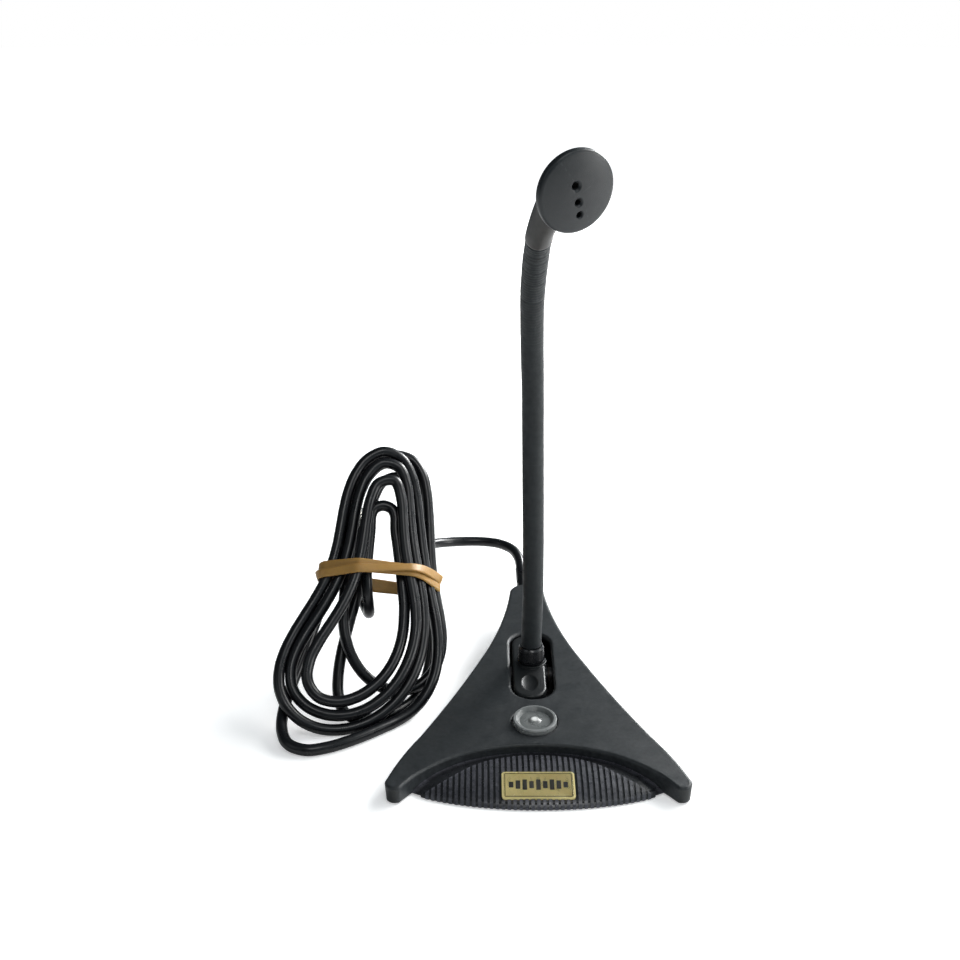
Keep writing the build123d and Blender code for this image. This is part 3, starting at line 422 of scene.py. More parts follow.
def finish_band():
    """Paler blotches and a little light passing through the rubber."""
    band = SURFACES["band_tan"]
    blotches = band.multiply(band.noise(scale=90.0, detail=5.0), 0.45)
    band.set_color(band.mix(blotches, band.color, (0.60, 0.37, 0.13)))
    band.inputs["Subsurface Weight"].default_value = 0.15
    band.inputs["Subsurface Radius"].default_value = (0.002, 0.001, 0.0005)


def paint_button_rings_and_glow():
    """Bright centre with a painted glow, in a dark dish with a milky rim, by distance from the
    button's axis.
    """
    button = SURFACES["button_frost"]
    low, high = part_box("button_cap")
    middle = (Vector(low) + Vector(high)) / 2
    radius = 0.0095
    offset = button.vector_math("SUBTRACT", button.coords,
                                (middle.x, middle.y - 0.0002, middle.z))
    flat = button.vector_math("MULTIPLY", offset, (1.0, 1.0, 0.0))
    distance = button.vector_math("LENGTH", flat)

    def rings(stops):
        return button.ramp(button.map_range(distance, (0.0, radius), (0.0, 1.0)), stops)

    color = rings([(0.0, (0.85, 0.87, 0.85)), (0.10, (0.60, 0.62, 0.60)),
                   (0.17, (0.10, 0.11, 0.11)), (0.33, (0.17, 0.18, 0.18)),
                   (0.60, (0.11, 0.12, 0.12)), (0.72, (0.20, 0.21, 0.21)),
                   (0.80, (0.30, 0.31, 0.31)), (1.0, (0.15, 0.16, 0.16))])
    clouds = button.multiply(button.noise(scale=700, detail=4.0), 0.20)
    button.set_color(button.mix(clouds, color, (0.30, 0.31, 0.30)))
    # painted glow: the button's centre emits light of its own
    glow = rings([(0.0, (1, 1, 1)), (0.13, (0.7, 0.7, 0.7)), (0.2, (0.03, 0.03, 0.03)),
                  (1.0, (0, 0, 0))])
    button.feed(button.inputs["Emission Color"], glow)
    button.inputs["Emission Strength"].default_value = 0.25


def paint_cad_pieces():
    slots = {part["node"]: part.get("material_slot") for part in frame["record"]["subparts"]}
    for name, piece in frame["nodes"].items():
        piece.data.materials.clear()
        piece.data.materials.append(SURFACES[slots[name]].material)


finish_band()
paint_button_rings_and_glow()
paint_cad_pieces()

# ------------------------------------------------------------------ neck --
# Straight up from the collar, then an arc towards the front; s is length from the collar.
collar_lo, collar_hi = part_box("neck_collar")
NECK_FOOT = np.array([(collar_lo.x + collar_hi.x) / 2, (collar_lo.y + collar_hi.y) / 2,
                      collar_hi.z]) / MM
NECK_UP = unit((-0.0175, 0.0, 1.0))
FORWARD = np.array([0.0, -1.0, 0.0])
NECK_RADIUS = 3.75
BEND_RADIUS = 103.0
BEND_ANGLE = math.radians(51.5)
STRAIGHT = 105.0 - NECK_FOOT[2]
NECK_LENGTH = STRAIGHT + BEND_RADIUS * BEND_ANGLE
NECK_PIECES = 7
ROW_STEP = 0.165
RIB_PITCH = 1.32
CREASES = (5.2, 9.1, 14.6, 21.3, 30.5)      # distances below the head end
NECK_ANGLES = circle(56)
# rows of (s, shift towards +X)
NECK_BOW = np.array([
    (0.0, 0.0), (6.0, 0.12), (20.0, 0.75), (44.0, 0.98), (100.0, 0.98), (110.0, 0.83),
    (120.0, 0.60), (132.0, 0.38), (140.0, 0.31), (147.0, 0.38), (154.0, 0.60), (161.0, 0.85),
    (168.6, 1.22), (176.0, 1.62)]).T
# rows of (s, factor on the radius)
NECK_FULLNESS = np.array([
    (0.0, 1.04), (10.0, 1.055), (44.0, 1.065), (66.0, 1.072), (100.0, 1.078), (118.0, 1.10),
    (150.0, 1.11), (168.0, 1.09), (176.0, 1.065)]).T


def neck_at(s):
    """Point and direction of the neck before its sideways bow."""
    if s <= STRAIGHT:
        return NECK_FOOT + NECK_UP * s, NECK_UP
    a = (s - STRAIGHT) / BEND_RADIUS
    point = (NECK_FOOT + NECK_UP * (STRAIGHT + BEND_RADIUS * math.sin(a))
             + FORWARD * (BEND_RADIUS * (1 - math.cos(a))))
    return point, unit(NECK_UP * math.cos(a) + FORWARD * math.sin(a))


def bowed_neck_at(s):
    point, direction = neck_at(s)
    return point + X_AXIS * np.interp(s, *NECK_BOW), direction


def neck_radius(s):
    """Radii round the neck at s: rubber drawn over a wound tube."""
    near_head = smooth((s - NECK_LENGTH * 0.52) / (NECK_LENGTH * 0.42))
    inside = 0.5 + 0.5 * np.cos(NECK_ANGLES + math.pi / 2)      # 1 at the front
    # rings, deeper near the head and with a wandering depth
    depth = (0.018 + 0.045 * near_head) * (0.75 + 0.35 * wave(s * 0.21, seed=3))
    ripple = (0.5 + 0.5 * math.cos(2 * math.pi * s / RIB_PITCH)) ** 0.7
    r = NECK_RADIUS - depth * ripple * (0.65 + 0.55 * inside * near_head)
    # slightly oval, turning along the neck
    oval = 0.5 + 0.5 * np.cos(2 * NECK_ANGLES + s * 0.05)
    r = r - 0.035 * (0.5 + 0.5 * math.sin(s * 0.37 + 1.0)) * oval
    for below in CREASES:
        offset = s - (NECK_LENGTH - below)
        r = r - 0.13 * math.exp(-(offset / 0.42) ** 2) * (0.35 + 0.65 * inside)
    # swelling towards the head, and both ends drawn in
    r = r + 0.20 * smooth((s - NECK_LENGTH + 48.0) / 40.0)
    if s > NECK_LENGTH - 0.9:
        r = r - 0.34 * smooth((s - NECK_LENGTH + 0.9) / 0.5)
    if s < 0.7:
        r = r - 0.2 * (1 - smooth(s / 0.7))
    return r * np.interp(s, *NECK_FULLNESS)


def build_neck():
    """Seven cover pieces along the neck, in place of the sleeve and link parts."""
    pitch = NECK_LENGTH / NECK_PIECES
    cuts = [0.08] + [pitch * (i + 1) for i in range(NECK_PIECES - 1)] + [NECK_LENGTH + 0.02]
    for k in range(NECK_PIECES):
        start, end = cuts[k], cuts[k + 1]
        steps = int((end - start) / ROW_STEP)
        verts = [ring(*bowed_neck_at(s), neck_radius(s), NECK_ANGLES)
                 for s in np.linspace(start, end, steps + 1)]
        verts += [bowed_neck_at(start)[0], bowed_neck_at(end)[0]]
        cover = add_mesh("neck_cover_%d" % (k + 1), np.vstack(verts),
                         tube_faces(steps + 1, len(NECK_ANGLES)), "sleeve_black", sharp=60)
        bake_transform(cover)
        hidden = ["neck_sleeve_%d" % k, "neck_link_%d" % k]
        if k == NECK_PIECES - 1:
            hidden += ["neck_sleeve_7", "neck_link_7"]
        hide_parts(*hidden)


build_neck()

# ------------------------------------------------------------------ head --
HEAD_CENTRE = np.array([9.4, -42.2, 202.3])     # middle of the front's rim plane
HEAD_AXIS = unit((0.47, -0.86, -0.21))          # the way the front faces
HEAD_COLUMNS = 96
# (position along the housing, radius)
HOUSING_RADII = [(0.0, 4.42), (0.22, 4.5), (0.44, 5.3), (0.63, 6.9), (0.8, 9.6), (0.92, 12.2),
                 (1.0, 13.2)]

neck_end, neck_direction = neck_at(NECK_LENGTH)
HOUSING_START = neck_end + X_AXIS * NECK_BOW[1, -1]
HOUSING_END = HEAD_CENTRE - HEAD_AXIS * 2.0
HOUSING_CURVE = (HOUSING_START, HOUSING_START + neck_direction * 8.0,
                 HOUSING_END - HEAD_AXIS * 7.5, HOUSING_END)


def housing_at(t):
    """Point and direction on the Bezier curve from the neck to the front."""
    a, b, c, d = HOUSING_CURVE
    point = (1 - t) ** 3 * a + 3 * (1 - t) ** 2 * t * b + 3 * (1 - t) * t * t * c + t ** 3 * d
    slope = 3 * (1 - t) ** 2 * (b - a) + 6 * (1 - t) * t * (c - b) + 3 * t * t * (d - c)
    return point, unit(slope)


def housing_radius(t):
    """Smooth cubic through HOUSING_RADII."""
    table = HOUSING_RADII
    i = next(k for k in range(len(table) - 1) if t <= table[k + 1][0] + 1e-9)
    (t0, r0), (t1, r1) = table[i:i + 2]
    before, after = table[max(i - 1, 0)], table[min(i + 2, len(table) - 1)]
    slope0 = (r1 - before[1]) / (t1 - before[0])
    slope1 = (after[1] - r0) / (after[0] - t0)
    h = t1 - t0
    u = (t - t0) / h
    return ((2 * u ** 3 - 3 * u * u + 1) * r0 + (u ** 3 - 2 * u * u + u) * h * slope0
            + (-2 * u ** 3 + 3 * u * u) * r1 + (u ** 3 - u * u) * h * slope1)


def build_housing():
    # rows of (position along the curve, extra distance past it, radius)
    rows = [(0.0, 0.0, 3.3), (0.0, 0.0, 4.05), (0.0, 0.12, 4.2)]
    for t in np.linspace(0.012, 1.0, 70):
        rows.append((t, 0.0, housing_radius(t) - (0.05 if t > 0.999 else 0.0)))
    rows += [(1.0, 0.10, 12.75), (1.0, 0.10, 4.6)]
    verts = []
    for t, past, radius in rows:
        point, direction = housing_at(t)
        # the sections settle parallel to the front
        settled = smooth((t - 0.2) / 0.65)
        direction = unit(direction * (1 - settled) + HEAD_AXIS * settled)
        verts.append(ring(point + direction * past, direction, radius, circle(HEAD_COLUMNS)))
    verts += [HOUSING_START, HOUSING_END - HEAD_AXIS]
    housing = add_mesh("head_housing", np.vstack(verts), tube_faces(len(rows), HEAD_COLUMNS),
                       "head_charcoal", sharp=50)
    attach(housing, "head", "head_charcoal", "head_rear")


# the row of sound holes runs down the front, slanting to the right
face_down = unit(np.array([0.0, 0.0, -1.0]) + HEAD_AXIS * HEAD_AXIS[2])
ROW_ALONG = unit(face_down + np.cross(HEAD_AXIS, face_down) * 0.32)
ROW_ACROSS = np.cross(HEAD_AXIS, ROW_ALONG)
# (along the row, across it, hole radius, dished radius)
HOLES = [(-2.8, -0.9, 1.1, 1.95), (2.6, -0.9, 0.92, 1.68), (6.9, -0.9, 0.84, 1.48)]
FRONT_RADIUS = 12.2
FRONT_COLUMNS = 420
# rim outside the dome: (radius, height over the rim plane)
FRONT_RIM = [
    (12.45, 0.22), (12.68, 0.10), (12.90, -0.08), (13.06, -0.32), (13.16, -0.6), (13.2, -0.9),
    (13.2, -1.3), (13.2, -1.75), (13.14, -1.95), (13.0, -2.0), (12.0, -2.0), (12.0, -1.6)]


def front_height(along, across):
    """Height of the dome over the rim plane, with the holes sunk into it."""
    z = 1.8 - 1.5 * (np.hypot(along, across) / FRONT_RADIUS) ** 2
    for hole_along, hole_across, radius, dished in HOLES:
        distance = np.hypot(along - hole_along, across - hole_across)
        z = z - 0.62 * smooth((dished - distance) / (dished - radius + 0.05))
        z = z - 2.1 * smooth((radius + 0.10 - distance) / 0.20)
    return z


def build_front():
    angles = circle(FRONT_COLUMNS)
    rings = []
    for q in np.linspace(0.0, FRONT_RADIUS, 190)[1:]:
        rings.append((q, front_height(q * np.cos(angles), q * np.sin(angles))))
    rings += [(q, np.full(FRONT_COLUMNS, z)) for q, z in FRONT_RIM]
    verts = [HEAD_CENTRE + HEAD_AXIS * front_height(0.0, 0.0)]
    flat = [(0.0, 0.0)]
    for q, z in rings:
        a, b = q * np.cos(angles), q * np.sin(angles)
        verts += list(HEAD_CENTRE + np.outer(a, ROW_ALONG) + np.outer(b, ROW_ACROSS)
                      + np.outer(z, HEAD_AXIS))
        flat += list(zip(a, b))
    faces = disc_faces(len(rings), FRONT_COLUMNS)
    last = 1 + (len(rings) - 1) * FRONT_COLUMNS
    faces.append(tuple(last + j for j in reversed(range(FRONT_COLUMNS))))
    front = add_mesh("head_front", verts, faces, "cover_charcoal", sharp=50)
    front.data.materials.append(SURFACES["screen_cloth"].material)
    flat = np.array(flat)
    for face in front.data.polygons:
        if len(face.vertices) > 4:      # the closing disc at the rear
            continue
        middle = flat[list(face.vertices)].mean(0)
        for along, across, radius, _ in HOLES:
            if math.hypot(middle[0] - along, middle[1] - across) < radius + 0.03:
                face.material_index = 1
    attach(front, "head", "cover_charcoal", "head_cover")


def build_screen():
    """Thin cloth disc behind the sound holes."""
    # rings between the two centres: (radius, height over the rim plane)
    profile = [(4.0, -1.32), (8.0, -1.42), (11.3, -1.6), (11.4, -1.72), (8.0, -1.6)]
    verts = [HEAD_CENTRE + HEAD_AXIS * -1.30]
    for radius, z in profile:
        verts.append(ring(HEAD_CENTRE + HEAD_AXIS * z, HEAD_AXIS, radius, circle(HEAD_COLUMNS)))
    verts.append(HEAD_CENTRE + HEAD_AXIS * -1.5)
    faces = disc_faces(len(profile), HEAD_COLUMNS)
    last = 1 + (len(profile) - 1) * HEAD_COLUMNS
    end = last + HEAD_COLUMNS
    faces += [(last + j, end, last + k) for j, k in neighbours(HEAD_COLUMNS)]
    screen = add_mesh("sound_screen", np.vstack(verts), faces, "screen_cloth")
    attach(screen, "head", "screen_cloth", "dust_screen")


build_housing()
build_front()
build_screen()

# ------------------------------------------------------------------ lead --
# centre line (x, y, z) from the back of the base, round the coil, to the plug
LEAD_POINTS = [
    (-1.56, 93.70, 18.30), (-2.44, 101.01, 20.41), (-5.34, 107.90, 21.83), (-11.15, 112.76, 22.52),
    (-18.49, 114.83, 22.71), (-26.12, 114.45, 22.98), (-33.28, 111.89, 23.74), (-39.21, 107.29, 25.12),
    (-43.26, 101.08, 26.96), (-45.49, 94.06, 29.03), (-46.48, 86.78, 31.21), (-46.71, 79.49, 33.52),
    (-46.43, 72.30, 36.16), (-45.72, 65.51, 39.62), (-44.74, 60.37, 45.11), (-44.41, 59.30, 52.59),
    (-45.45, 61.06, 59.96), (-47.81, 63.43, 66.84), (-52.82, 64.77, 72.29), (-59.50, 62.00, 71.53),
    (-63.01, 57.21, 66.75), (-64.45, 52.15, 61.19), (-64.99, 47.07, 55.49), (-65.46, 41.99, 49.77),
    (-66.35, 36.91, 44.11), (-67.72, 31.80, 38.57), (-69.40, 26.63, 33.17), (-71.13, 21.35, 27.89),
    (-72.70, 15.91, 22.73), (-73.87, 10.24, 17.71), (-74.42, 4.40, 12.78), (-73.91, -1.52, 7.96),
    (-71.08, -7.16, 3.75), (-64.28, -9.56, 2.06), (-57.05, -7.20, 2.05), (-51.07, -2.45, 2.05),
    (-46.36, 3.58, 2.19), (-42.85, 10.14, 3.92), (-40.56, 16.23, 7.92), (-39.31, 21.51, 13.31),
    (-38.91, 26.32, 19.26), (-39.20, 30.97, 25.34), (-39.90, 35.61, 31.40), (-40.68, 40.27, 37.43),
    (-41.25, 45.02, 43.41), (-41.45, 49.88, 49.33), (-41.42, 54.80, 55.20), (-41.69, 59.65, 61.12),
    (-43.49, 64.00, 67.14), (-47.67, 66.43, 73.00), (-53.49, 65.53, 77.78), (-60.02, 61.98, 78.88),
    (-65.01, 57.19, 75.71), (-68.06, 52.17, 70.81), (-69.78, 47.11, 65.33), (-70.72, 42.07, 59.64),
    (-71.33, 37.00, 53.92), (-71.93, 31.91, 48.23), (-72.58, 26.82, 42.54), (-73.06, 21.76, 36.81),
    (-72.98, 16.83, 30.95), (-71.81, 12.25, 24.93), (-69.15, 8.40, 18.88), (-64.78, 5.58, 13.29),
    (-58.76, 4.08, 8.85), (-51.51, 4.37, 6.54), (-44.34, 6.78, 7.23), (-38.84, 10.85, 10.59),
    (-35.78, 15.78, 15.55), (-35.05, 20.92, 21.16), (-35.88, 25.93, 26.89), (-37.33, 30.76, 32.66),
    (-38.66, 35.52, 38.51), (-39.56, 40.32, 44.42), (-40.10, 45.20, 50.30), (-40.53, 50.15, 56.13),
    (-41.01, 55.04, 62.01), (-41.83, 59.70, 68.03), (-43.72, 64.05, 74.04), (-48.22, 67.64, 78.96),
    (-55.47, 68.32, 80.84), (-62.29, 64.97, 80.79), (-67.35, 59.56, 78.96), (-70.69, 53.89, 75.09),
    (-72.69, 48.59, 69.94), (-73.96, 43.58, 64.28), (-75.08, 38.65, 58.53), (-76.37, 33.75, 52.79),
    (-77.90, 28.86, 47.09), (-79.66, 23.91, 41.51), (-81.59, 18.90, 36.05), (-83.67, 13.88, 30.64),
    (-85.88, 8.85, 25.31), (-88.17, 3.68, 20.13), (-90.41, -1.75, 15.22), (-92.34, -7.64, 10.72),
    (-93.40, -14.23, 6.99), (-92.77, -21.44, 4.52), (-89.63, -28.15, 2.86), (-82.80, -30.97, 2.08),
    (-75.40, -29.12, 2.05), (-68.74, -25.35, 2.05), (-62.64, -20.72, 2.05), (-56.87, -15.68, 2.05),
    (-51.27, -10.45, 2.10), (-45.86, -5.17, 3.24), (-41.22, 0.03, 6.38), (-38.02, 5.09, 11.12),
    (-36.48, 10.08, 16.71), (-36.39, 15.03, 22.55), (-37.32, 19.93, 28.37), (-38.76, 24.75, 34.14),
    (-40.33, 29.52, 39.93), (-41.78, 34.24, 45.79), (-42.99, 38.91, 51.74), (-43.96, 43.52, 57.78),
    (-44.81, 47.99, 63.95), (-45.86, 52.14, 70.30), (-47.85, 55.68, 76.79), (-51.86, 58.04, 82.81),
    (-58.71, 58.06, 85.74), (-65.33, 55.25, 83.44), (-69.68, 51.01, 78.82), (-72.26, 46.18, 73.47),
    (-73.72, 41.19, 67.85), (-74.72, 36.24, 62.09), (-75.82, 31.32, 56.32), (-77.50, 26.44, 50.65),
    (-80.03, 21.72, 45.18), (-83.31, 17.16, 39.98), (-86.98, 12.52, 35.11), (-90.55, 7.57, 30.48),
    (-93.49, 2.18, 25.90), (-95.19, -3.61, 21.20), (-94.92, -9.46, 16.29), (-92.02, -14.45, 11.31),
    (-86.76, -17.20, 6.55), (-79.90, -17.77, 3.26), (-72.42, -16.83, 2.03), (-65.08, -14.78, 2.57),
    (-58.35, -11.76, 4.59), (-52.58, -7.94, 7.86), (-47.98, -3.49, 12.05), (-44.61, 1.36, 16.92),
    (-42.51, 6.40, 22.28), (-41.63, 11.49, 27.94), (-41.77, 16.50, 33.72), (-42.67, 21.44, 39.51),
    (-44.00, 26.35, 45.24), (-45.44, 31.28, 50.92), (-46.70, 36.26, 56.61), (-47.60, 41.23, 62.37),
    (-48.26, 46.02, 68.31), (-49.31, 50.44, 74.47), (-52.47, 53.89, 80.45), (-59.46, 53.82, 82.17),
    (-64.74, 50.17, 78.17), (-67.61, 45.52, 72.82), (-69.18, 40.54, 67.22), (-70.16, 35.45, 61.57),
    (-71.22, 30.37, 55.94), (-72.87, 25.37, 50.38), (-75.36, 20.52, 45.00), (-78.60, 15.81, 39.90),
    (-82.28, 11.18, 35.04), (-86.03, 6.48, 30.29), (-89.28, 1.56, 25.39), (-91.11, -3.64, 20.11),
    (-89.99, -8.76, 14.60), (-85.20, -12.58, 10.11), (-78.30, -14.46, 7.47), (-70.70, -14.47, 6.77),
    (-63.36, -12.74, 7.96), (-56.98, -9.61, 10.78), (-51.90, -5.52, 14.77), (-48.13, -0.87, 19.54),
    (-45.65, 4.08, 24.83), (-44.50, 9.12, 30.47), (-44.65, 14.11, 36.27), (-45.79, 18.97, 42.09),
    (-47.36, 23.77, 47.85), (-48.81, 28.68, 53.55), (-49.82, 33.73, 59.22), (-50.39, 38.71, 65.01),
    (-51.13, 43.38, 71.04), (-53.79, 47.09, 77.09), (-60.19, 45.16, 76.88), (-63.19, 40.32, 71.82),
    (-64.45, 35.24, 66.23), (-65.20, 30.15, 60.55), (-66.14, 25.09, 54.88), (-67.70, 20.12, 49.26),
    (-70.08, 15.26, 43.84), (-73.26, 10.52, 38.74), (-77.02, 5.87, 33.95), (-80.85, 1.23, 29.21),
    (-83.86, -3.56, 24.06), (-84.41, -8.39, 18.21), (-80.22, -11.77, 13.02), (-72.91, -11.98, 11.09),
    (-65.65, -9.84, 12.02), (-59.46, -6.29, 14.74), (-54.65, -1.81, 18.66), (-51.38, 3.24, 23.38),
    (-49.63, 8.56, 28.59), (-49.14, 13.94, 34.02), (-49.53, 19.28, 39.50), (-52.05, 31.95, 53.00),
    (-53.35, 37.61, 59.35), (-53.60, 41.60, 63.85), (-54.99, 43.74, 66.46), (-58.35, 44.42, 67.73),
    (-61.71, 43.16, 67.02), (-63.10, 40.74, 64.69), (-63.25, 36.33, 59.91), (-63.75, 31.51, 54.13),
    (-64.25, 25.79, 46.44), (-63.95, 22.89, 39.20), (-63.55, 23.38, 32.55), (-64.05, 27.24, 28.77),
    (-65.85, 32.61, 29.11), (-67.55, 36.96, 32.69)]
LEAD_RADIUS = 2.17
LEAD_COLUMNS = 22
LEAD_EXIT = unit((-0.06, 0.95, 0.30))       # direction out of the base
PLUG_END = np.array([-67.555, 36.956, 32.689])
PLUG_AXIS = unit((-0.06983, 0.69836, 0.71233))


def build_lead():
    # both ends run a little way into the base and the plug
    points = [LEAD_POINTS[0] - LEAD_EXIT * 1.2, *LEAD_POINTS, PLUG_END + PLUG_AXIS * 0.9]
    path, length = even_curve(points, step=0.9)
    along = np.linspace(0, length, len(path))
    radii = LEAD_RADIUS + 0.02 * wave(along * 0.11, seed=11) + 0.012 * wave(along * 0.9, seed=12)
    directions = np.gradient(path, axis=0)
    directions = directions / np.linalg.norm(directions, axis=1)[:, None]
    angles = circle(LEAD_COLUMNS)
    verts = []
    x = X_AXIS      # carried along the path without twisting
    for point, direction, radius, s in zip(path, directions, radii, along):
        x = unit(x - direction * np.dot(x, direction))
        # the jacket is slightly oval and follows the twist of the wires inside
        oval = 1.0 + 0.010 * np.cos(2 * angles + s * 0.16)
        verts.append(ring_on(point, x, np.cross(direction, x), radius * oval, angles))
    verts += [path[0], path[-1]]
    lead = add_mesh("coiled_lead", np.vstack(verts), tube_faces(len(path), LEAD_COLUMNS),
                    "cable_black", sharp=70)
    attach(lead, "base", "cable_black", "cable")


build_lead()

# ----------------------------------------------------------- rubber band --
BAND_CENTRE = np.array([-59.355, 29.359, 42.938])
BAND_NEAR = np.array([0.0, -0.71407, 0.70007])      # in the loop's plane, to the front and up
BAND_ACROSS = np.array([0.0, 0.70007, 0.71407])     # square to the loop's plane
# loop round the coil: (along +X, along -BAND_NEAR)
BAND_LOOP = [
    (-23.12, -7.01), (-21.47, -9.25), (-18.64, -10.18), (-15.81, -11.12), (-12.98, -12.05),
    (-10.15, -12.98), (-7.26, -13.66), (-4.32, -13.17), (-1.40, -12.59), (1.52, -12.02),
    (4.45, -11.44), (7.37, -10.86), (10.30, -10.29), (13.16, -9.51), (15.43, -7.66),
    (17.42, -5.44), (19.03, -2.94), (20.54, -0.37), (21.89, 2.28), (22.94, 5.06), (23.87, 7.89),
    (22.87, 10.67), (21.64, 13.38), (19.29, 14.88), (16.41, 14.14), (13.53, 13.36),
    (10.65, 12.58), (7.78, 11.80), (4.90, 11.03), (2.02, 10.25), (-0.85, 9.47), (-3.73, 8.69),
    (-6.60, 7.91), (-9.48, 7.13), (-12.00, 5.56), (-14.44, 3.86), (-16.89, 2.15),
    (-19.33, 0.45), (-21.75, -1.29), (-22.65, -4.07)]


def strip_section():
    """Flat strip with pointed edges, as fractions of its width and thickness."""
    face = np.arange(8) / 7
    return np.array([(-0.5 + x, 0.5) for x in face] + [(0.56, 0.0)]
                    + [(0.5 - x, -0.5) for x in face] + [(-0.56, 0.0)])


def build_strip(name, loop, outward, lift, shift, width, thickness, twist):
    """One turn of rubber; lift, shift, width and twist are given per row."""
    section = strip_section()
    curl = (section[:, 0] ** 2) * 0.35
    verts = []
    for i, point in enumerate(loop):
        cos, sin = math.cos(twist[i]), math.sin(twist[i])
        across = BAND_ACROSS * cos + outward[i] * sin
        out = outward[i] * cos - BAND_ACROSS * sin
        middle = point + outward[i] * lift[i] + BAND_ACROSS * shift[i]
        verts.append(middle + np.outer(section[:, 0] * width[i], across)
                     + np.outer(section[:, 1] * thickness - curl, out))
    faces = grid_faces(len(loop), len(section), closed=True)
    return add_mesh(name, np.concatenate(verts), faces, "band_tan", sharp=60)


def build_band():
    """Two turns, the narrower one crossing over the other."""
    loop, _ = even_curve([BAND_CENTRE + X_AXIS * x - BAND_NEAR * y for x, y in BAND_LOOP],
                         step=0.45, closed=True)
    along = np.roll(loop, -1, 0) - np.roll(loop, 1, 0)
    along = along / np.linalg.norm(along, axis=1)[:, None]
    outward = np.cross(along, BAND_ACROSS)
    if np.mean(np.einsum("ij,ij->i", outward, loop - loop.mean(0))) < 0:
        outward = -outward
    turn = np.arange(len(loop)) / len(loop) * TAU
    right = smooth(((loop - BAND_CENTRE)[:, 0] - 15.0) / 7.0)   # pulled in at the right end
    under = build_strip("rubber_band_under", loop, outward,
                        lift=0.12 + 0.10 * wave(turn, seed=21) - 0.75 * right,
                        shift=0.7 * np.cos(turn),
                        width=4.9 + 0.5 * wave(turn, seed=22),
                        thickness=0.75,
                        twist=0.16 * np.sin(turn * 2))
    attach(under, "base", "band_tan", "cable_band")
    over = build_strip("rubber_band_over", loop, outward,
                       lift=0.84 + 0.10 * wave(turn, seed=25) - 0.85 * right,
                       shift=-1.7 * np.cos(turn) + 0.25 * wave(turn, seed=26),
                       width=3.3 + 0.5 * wave(turn, seed=23),
                       thickness=0.7,
                       twist=0.42 * np.sin(turn * 2 + 0.9))
    attach(over, "base", "band_tan")


build_band()


# ----------------------------------------------------- apron foot strip --
def build_apron_strip():
    """Strip along the foot of the ribbed apron, at the front of the base."""
    back_y = -44.0
    radii = (53.9, 22.4, 6.3 + 0.75)        # of the apron's ellipsoid, along x, y, z
    # section: (z, offset out from the ellipsoid)
    section = [(0.55, -0.95), (0.55, -0.25), (0.75, -0.18), (1.9, -0.32), (2.2, -0.50),
               (2.2, -1.0)]
    stations = np.linspace(-40.2, 40.2, 322)
    verts = []
    for x in stations:
        for z, offset in section:
            a, b, c = (radius + offset for radius in radii)
            y = back_y - b * math.sqrt(max(1.0 - (x / a) ** 2 - (z / c) ** 2, 0.0))
            verts.append((x, y, z))
    count = len(section)
    faces = grid_faces(len(stations), count)
    faces.append(tuple(range(count - 1, -1, -1)))
    faces.append(tuple((len(stations) - 1) * count + i for i in range(count)))
    strip = add_mesh("apron_foot_strip", verts, faces, "grille_black", sharp=40)
    attach(strip, "base", "grille_black")


# ----------------------------------------------------------------- badge --
BADGE_CENTRE = np.array([0.0, -58.3, 4.75])
BADGE_TILT = math.radians(18.1)
BADGE_OUT = np.array([0.0, -math.sin(BADGE_TILT), math.cos(BADGE_TILT)])
BADGE_UP = np.array([0.0, math.cos(BADGE_TILT), math.sin(BADGE_TILT)])
BAR_HEIGHTS = (2.4, 3.6, 4.4, 3.0, 4.4, 3.0, 4.4, 3.6, 2.4)
BAR_CUT = 0.12                  # corner cut
BAR_LEVELS = (0.752, 0.80)      # bottom and top, out from the badge centre


def build_badge_mark():
    """A row of nine upright bars in a thin frame, printed on the badge."""
    # blocks: (x0, x1, y0, y1)
    blocks = [(x - 0.78, x + 0.78, -h / 2, h / 2)
              for x, h in zip(np.linspace(-9.3, 9.3, 9), BAR_HEIGHTS)]
    for side in (-1, 1):
        blocks.append((-11.4, 11.4, side * 4.75 - 0.11, side * 4.75 + 0.11))
        blocks.append((side * 11.4 - 0.11, side * 11.4 + 0.11, -4.6, 4.6))
    verts, faces = [], []
    for x0, x1, y0, y1 in blocks:
        q = BAR_CUT
        outline = [(x0 + q, y0), (x1 - q, y0), (x1, y0 + q), (x1, y1 - q),
                   (x1 - q, y1), (x0 + q, y1), (x0, y1 - q), (x0, y0 + q)]
        low, count = len(verts), len(outline)
        top = low + count
        for z in BAR_LEVELS:
            verts += [BADGE_CENTRE + X_AXIS * x + BADGE_UP * y + BADGE_OUT * z
                      for x, y in outline]
        faces.append(tuple(top + i for i in range(count)))
        faces.append(tuple(top - 1 - i for i in range(count)))
        faces += [(low + i, low + j, top + j, top + i) for i, j in neighbours(count)]
    mark = add_mesh("badge_mark", verts, faces, "badge_ink")
    attach(mark, "base", "badge_gold")


build_apron_strip()
build_badge_mark()


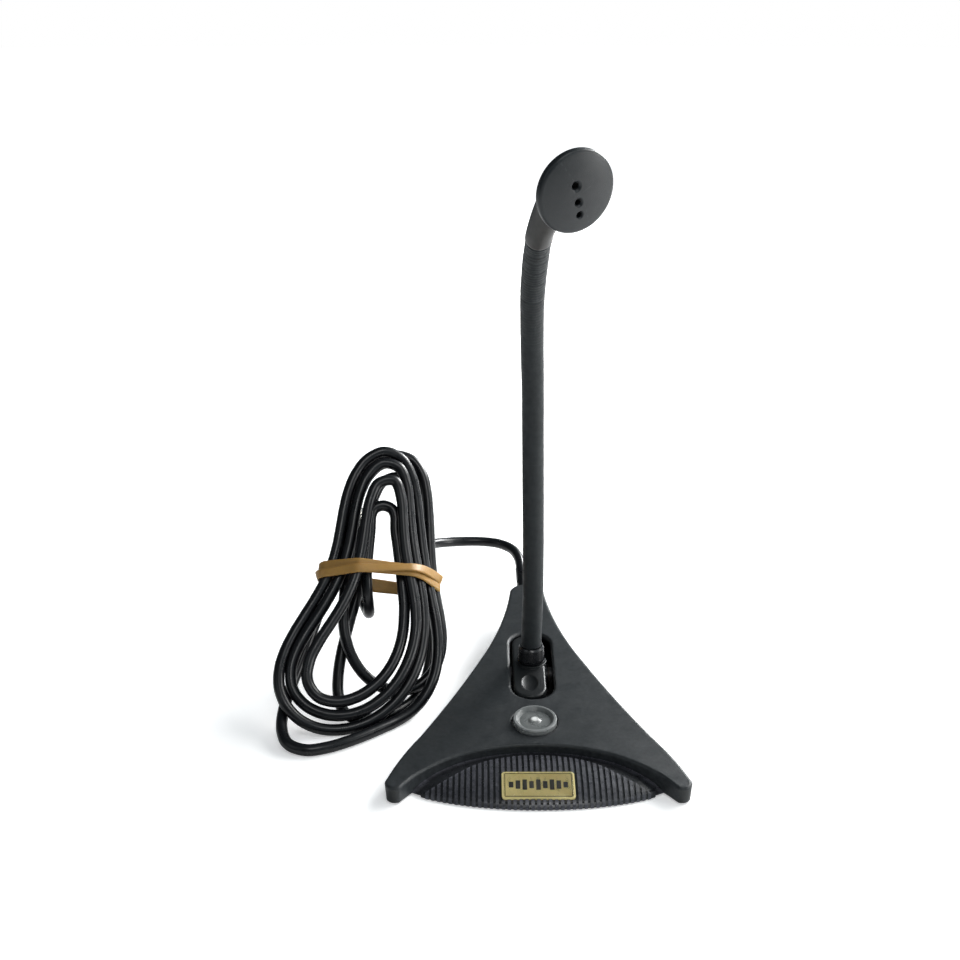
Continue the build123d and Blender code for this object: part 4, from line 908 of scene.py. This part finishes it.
# ---------------------------------------------------------------- studio --
def build_floor():
    """White paper disc that glows, for the camera only, into the lit background."""
    paper = Surface("floor_paper", color=(0.90, 0.90, 0.90), rough=0.9, variation=0.01,
                    patch_scale=3.0, grain_scale=700, grain_bump=0.05, broad_bump=0.0,
                    bump_depth=0.00005, edge_wear_and_highlight=0.0, specular=0.1, rough_spread=0.03)
    SURFACES["floor_paper"] = paper
    glow = paper.map_range(paper.vector_math("LENGTH", paper.coords), (0.25, 1.1), (0.42, 1.0))
    camera_ray = paper.node("LightPath").outputs["Is Camera Ray"]
    paper.inputs["Emission Color"].default_value = (1, 1, 1, 1)
    paper.feed(paper.inputs["Emission Strength"], paper.multiply(camera_ray, glow))
    columns = 96
    radii = np.geomspace(0.05, 9.0, 60) / MM
    up = np.array([0.0, 0.0, 1.0])
    verts = [np.zeros(3)] + [ring(np.zeros(3), up, q, circle(columns)) for q in radii]
    add_mesh("floor", np.vstack(verts), disc_faces(len(radii), columns),
                      "floor_paper", sharp=180)


def build_world():
    """Lights the scene dimly from the left and brightly from the right; the camera sees white."""
    world = bpy.data.worlds.new("studio")
    bpy.context.scene.world = world
    nodes = Nodes(world)
    split = nodes.node("SeparateXYZ")
    nodes.feed(split.inputs[0], nodes.node("TexCoord").outputs["Generated"])
    strength = nodes.map_range(split.outputs[0], (-0.30, 0.65), (0.085, 0.50), "SMOOTHSTEP")
    room, seen = nodes.node("Background"), nodes.node("Background")
    room.inputs["Color"].default_value = (0.80, 0.93, 1.0, 1)
    nodes.feed(room.inputs["Strength"], strength)
    seen.inputs["Color"].default_value = (1.0, 1.0, 1.0, 1)
    seen.inputs["Strength"].default_value = 1.0
    mix = nodes.node("MixShader")
    nodes.feed(mix.inputs[0], nodes.node("LightPath").outputs["Is Camera Ray"])
    nodes.feed(mix.inputs[1], room.outputs[0])
    nodes.feed(mix.inputs[2], seen.outputs[0])
    nodes.feed(nodes.node("OutputWorld").inputs[0], mix.outputs[0])


# name, place, target, (width, height), watts, colour
LIGHTS = [
    ("key_soft", (0.85, 0.35, 0.85), (0, 0, 0.06), (0.6, 0.6), 9.0, (1.0, 0.985, 0.96)),
    ("back_right", (0.62, 0.80, 0.50), (0.02, -0.02, 0.0), (0.35, 0.30), 11.0, (1.0, 1.0, 1.0)),
    ("right_side", (0.95, -0.22, 0.27), (0.0, -0.03, 0.20), (0.4, 0.4), 3.0, (1.0, 0.99, 0.97)),
    ("fill_left", (-0.9, -0.6, 0.8), (0, 0, 0.08), (0.7, 0.7), 1.0, (0.90, 0.96, 1.0)),
    ("front_top", (0.15, -0.7, 1.2), (0, 0, 0.03), (0.5, 0.35), 3.0, (1.0, 1.0, 1.0)),
    ("window", (0.58, 0.66, 0.64), (0.03, -0.03, 0.0), (0.30, 0.26), 3.0, (0.94, 0.98, 1.0)),
]


def add_light(name, place, target, size, watts, color):
    data = bpy.data.lights.new(name, "AREA")
    data.shape = "RECTANGLE"
    data.size, data.size_y = size
    data.energy = watts
    data.color = color
    light = bpy.data.objects.new(name, data)
    bpy.context.scene.collection.objects.link(light)
    light.location = place
    aim = Vector(target) - Vector(place)
    light.rotation_euler = aim.to_track_quat("-Z", "Y").to_euler()


def add_camera():
    """In front of the microphone, looking back and 20 degrees down."""
    data = bpy.data.cameras.new("photo_camera")
    camera = bpy.data.objects.new("photo_camera", data)
    bpy.context.scene.collection.objects.link(camera)
    camera.location = (-0.0199, -0.4394, 0.2547)
    camera.rotation_euler = (math.radians(70.0), 0.0, 0.0)
    data.lens = 48.75
    data.sensor_width = 36.0
    data.sensor_fit = "HORIZONTAL"
    data.clip_start = 0.01
    data.clip_end = 50.0
    bpy.context.scene.camera = camera


build_floor()
build_world()
for light_settings in LIGHTS:
    add_light(*light_settings)
add_camera()
bpy.context.scene.view_settings.view_transform = "Standard"
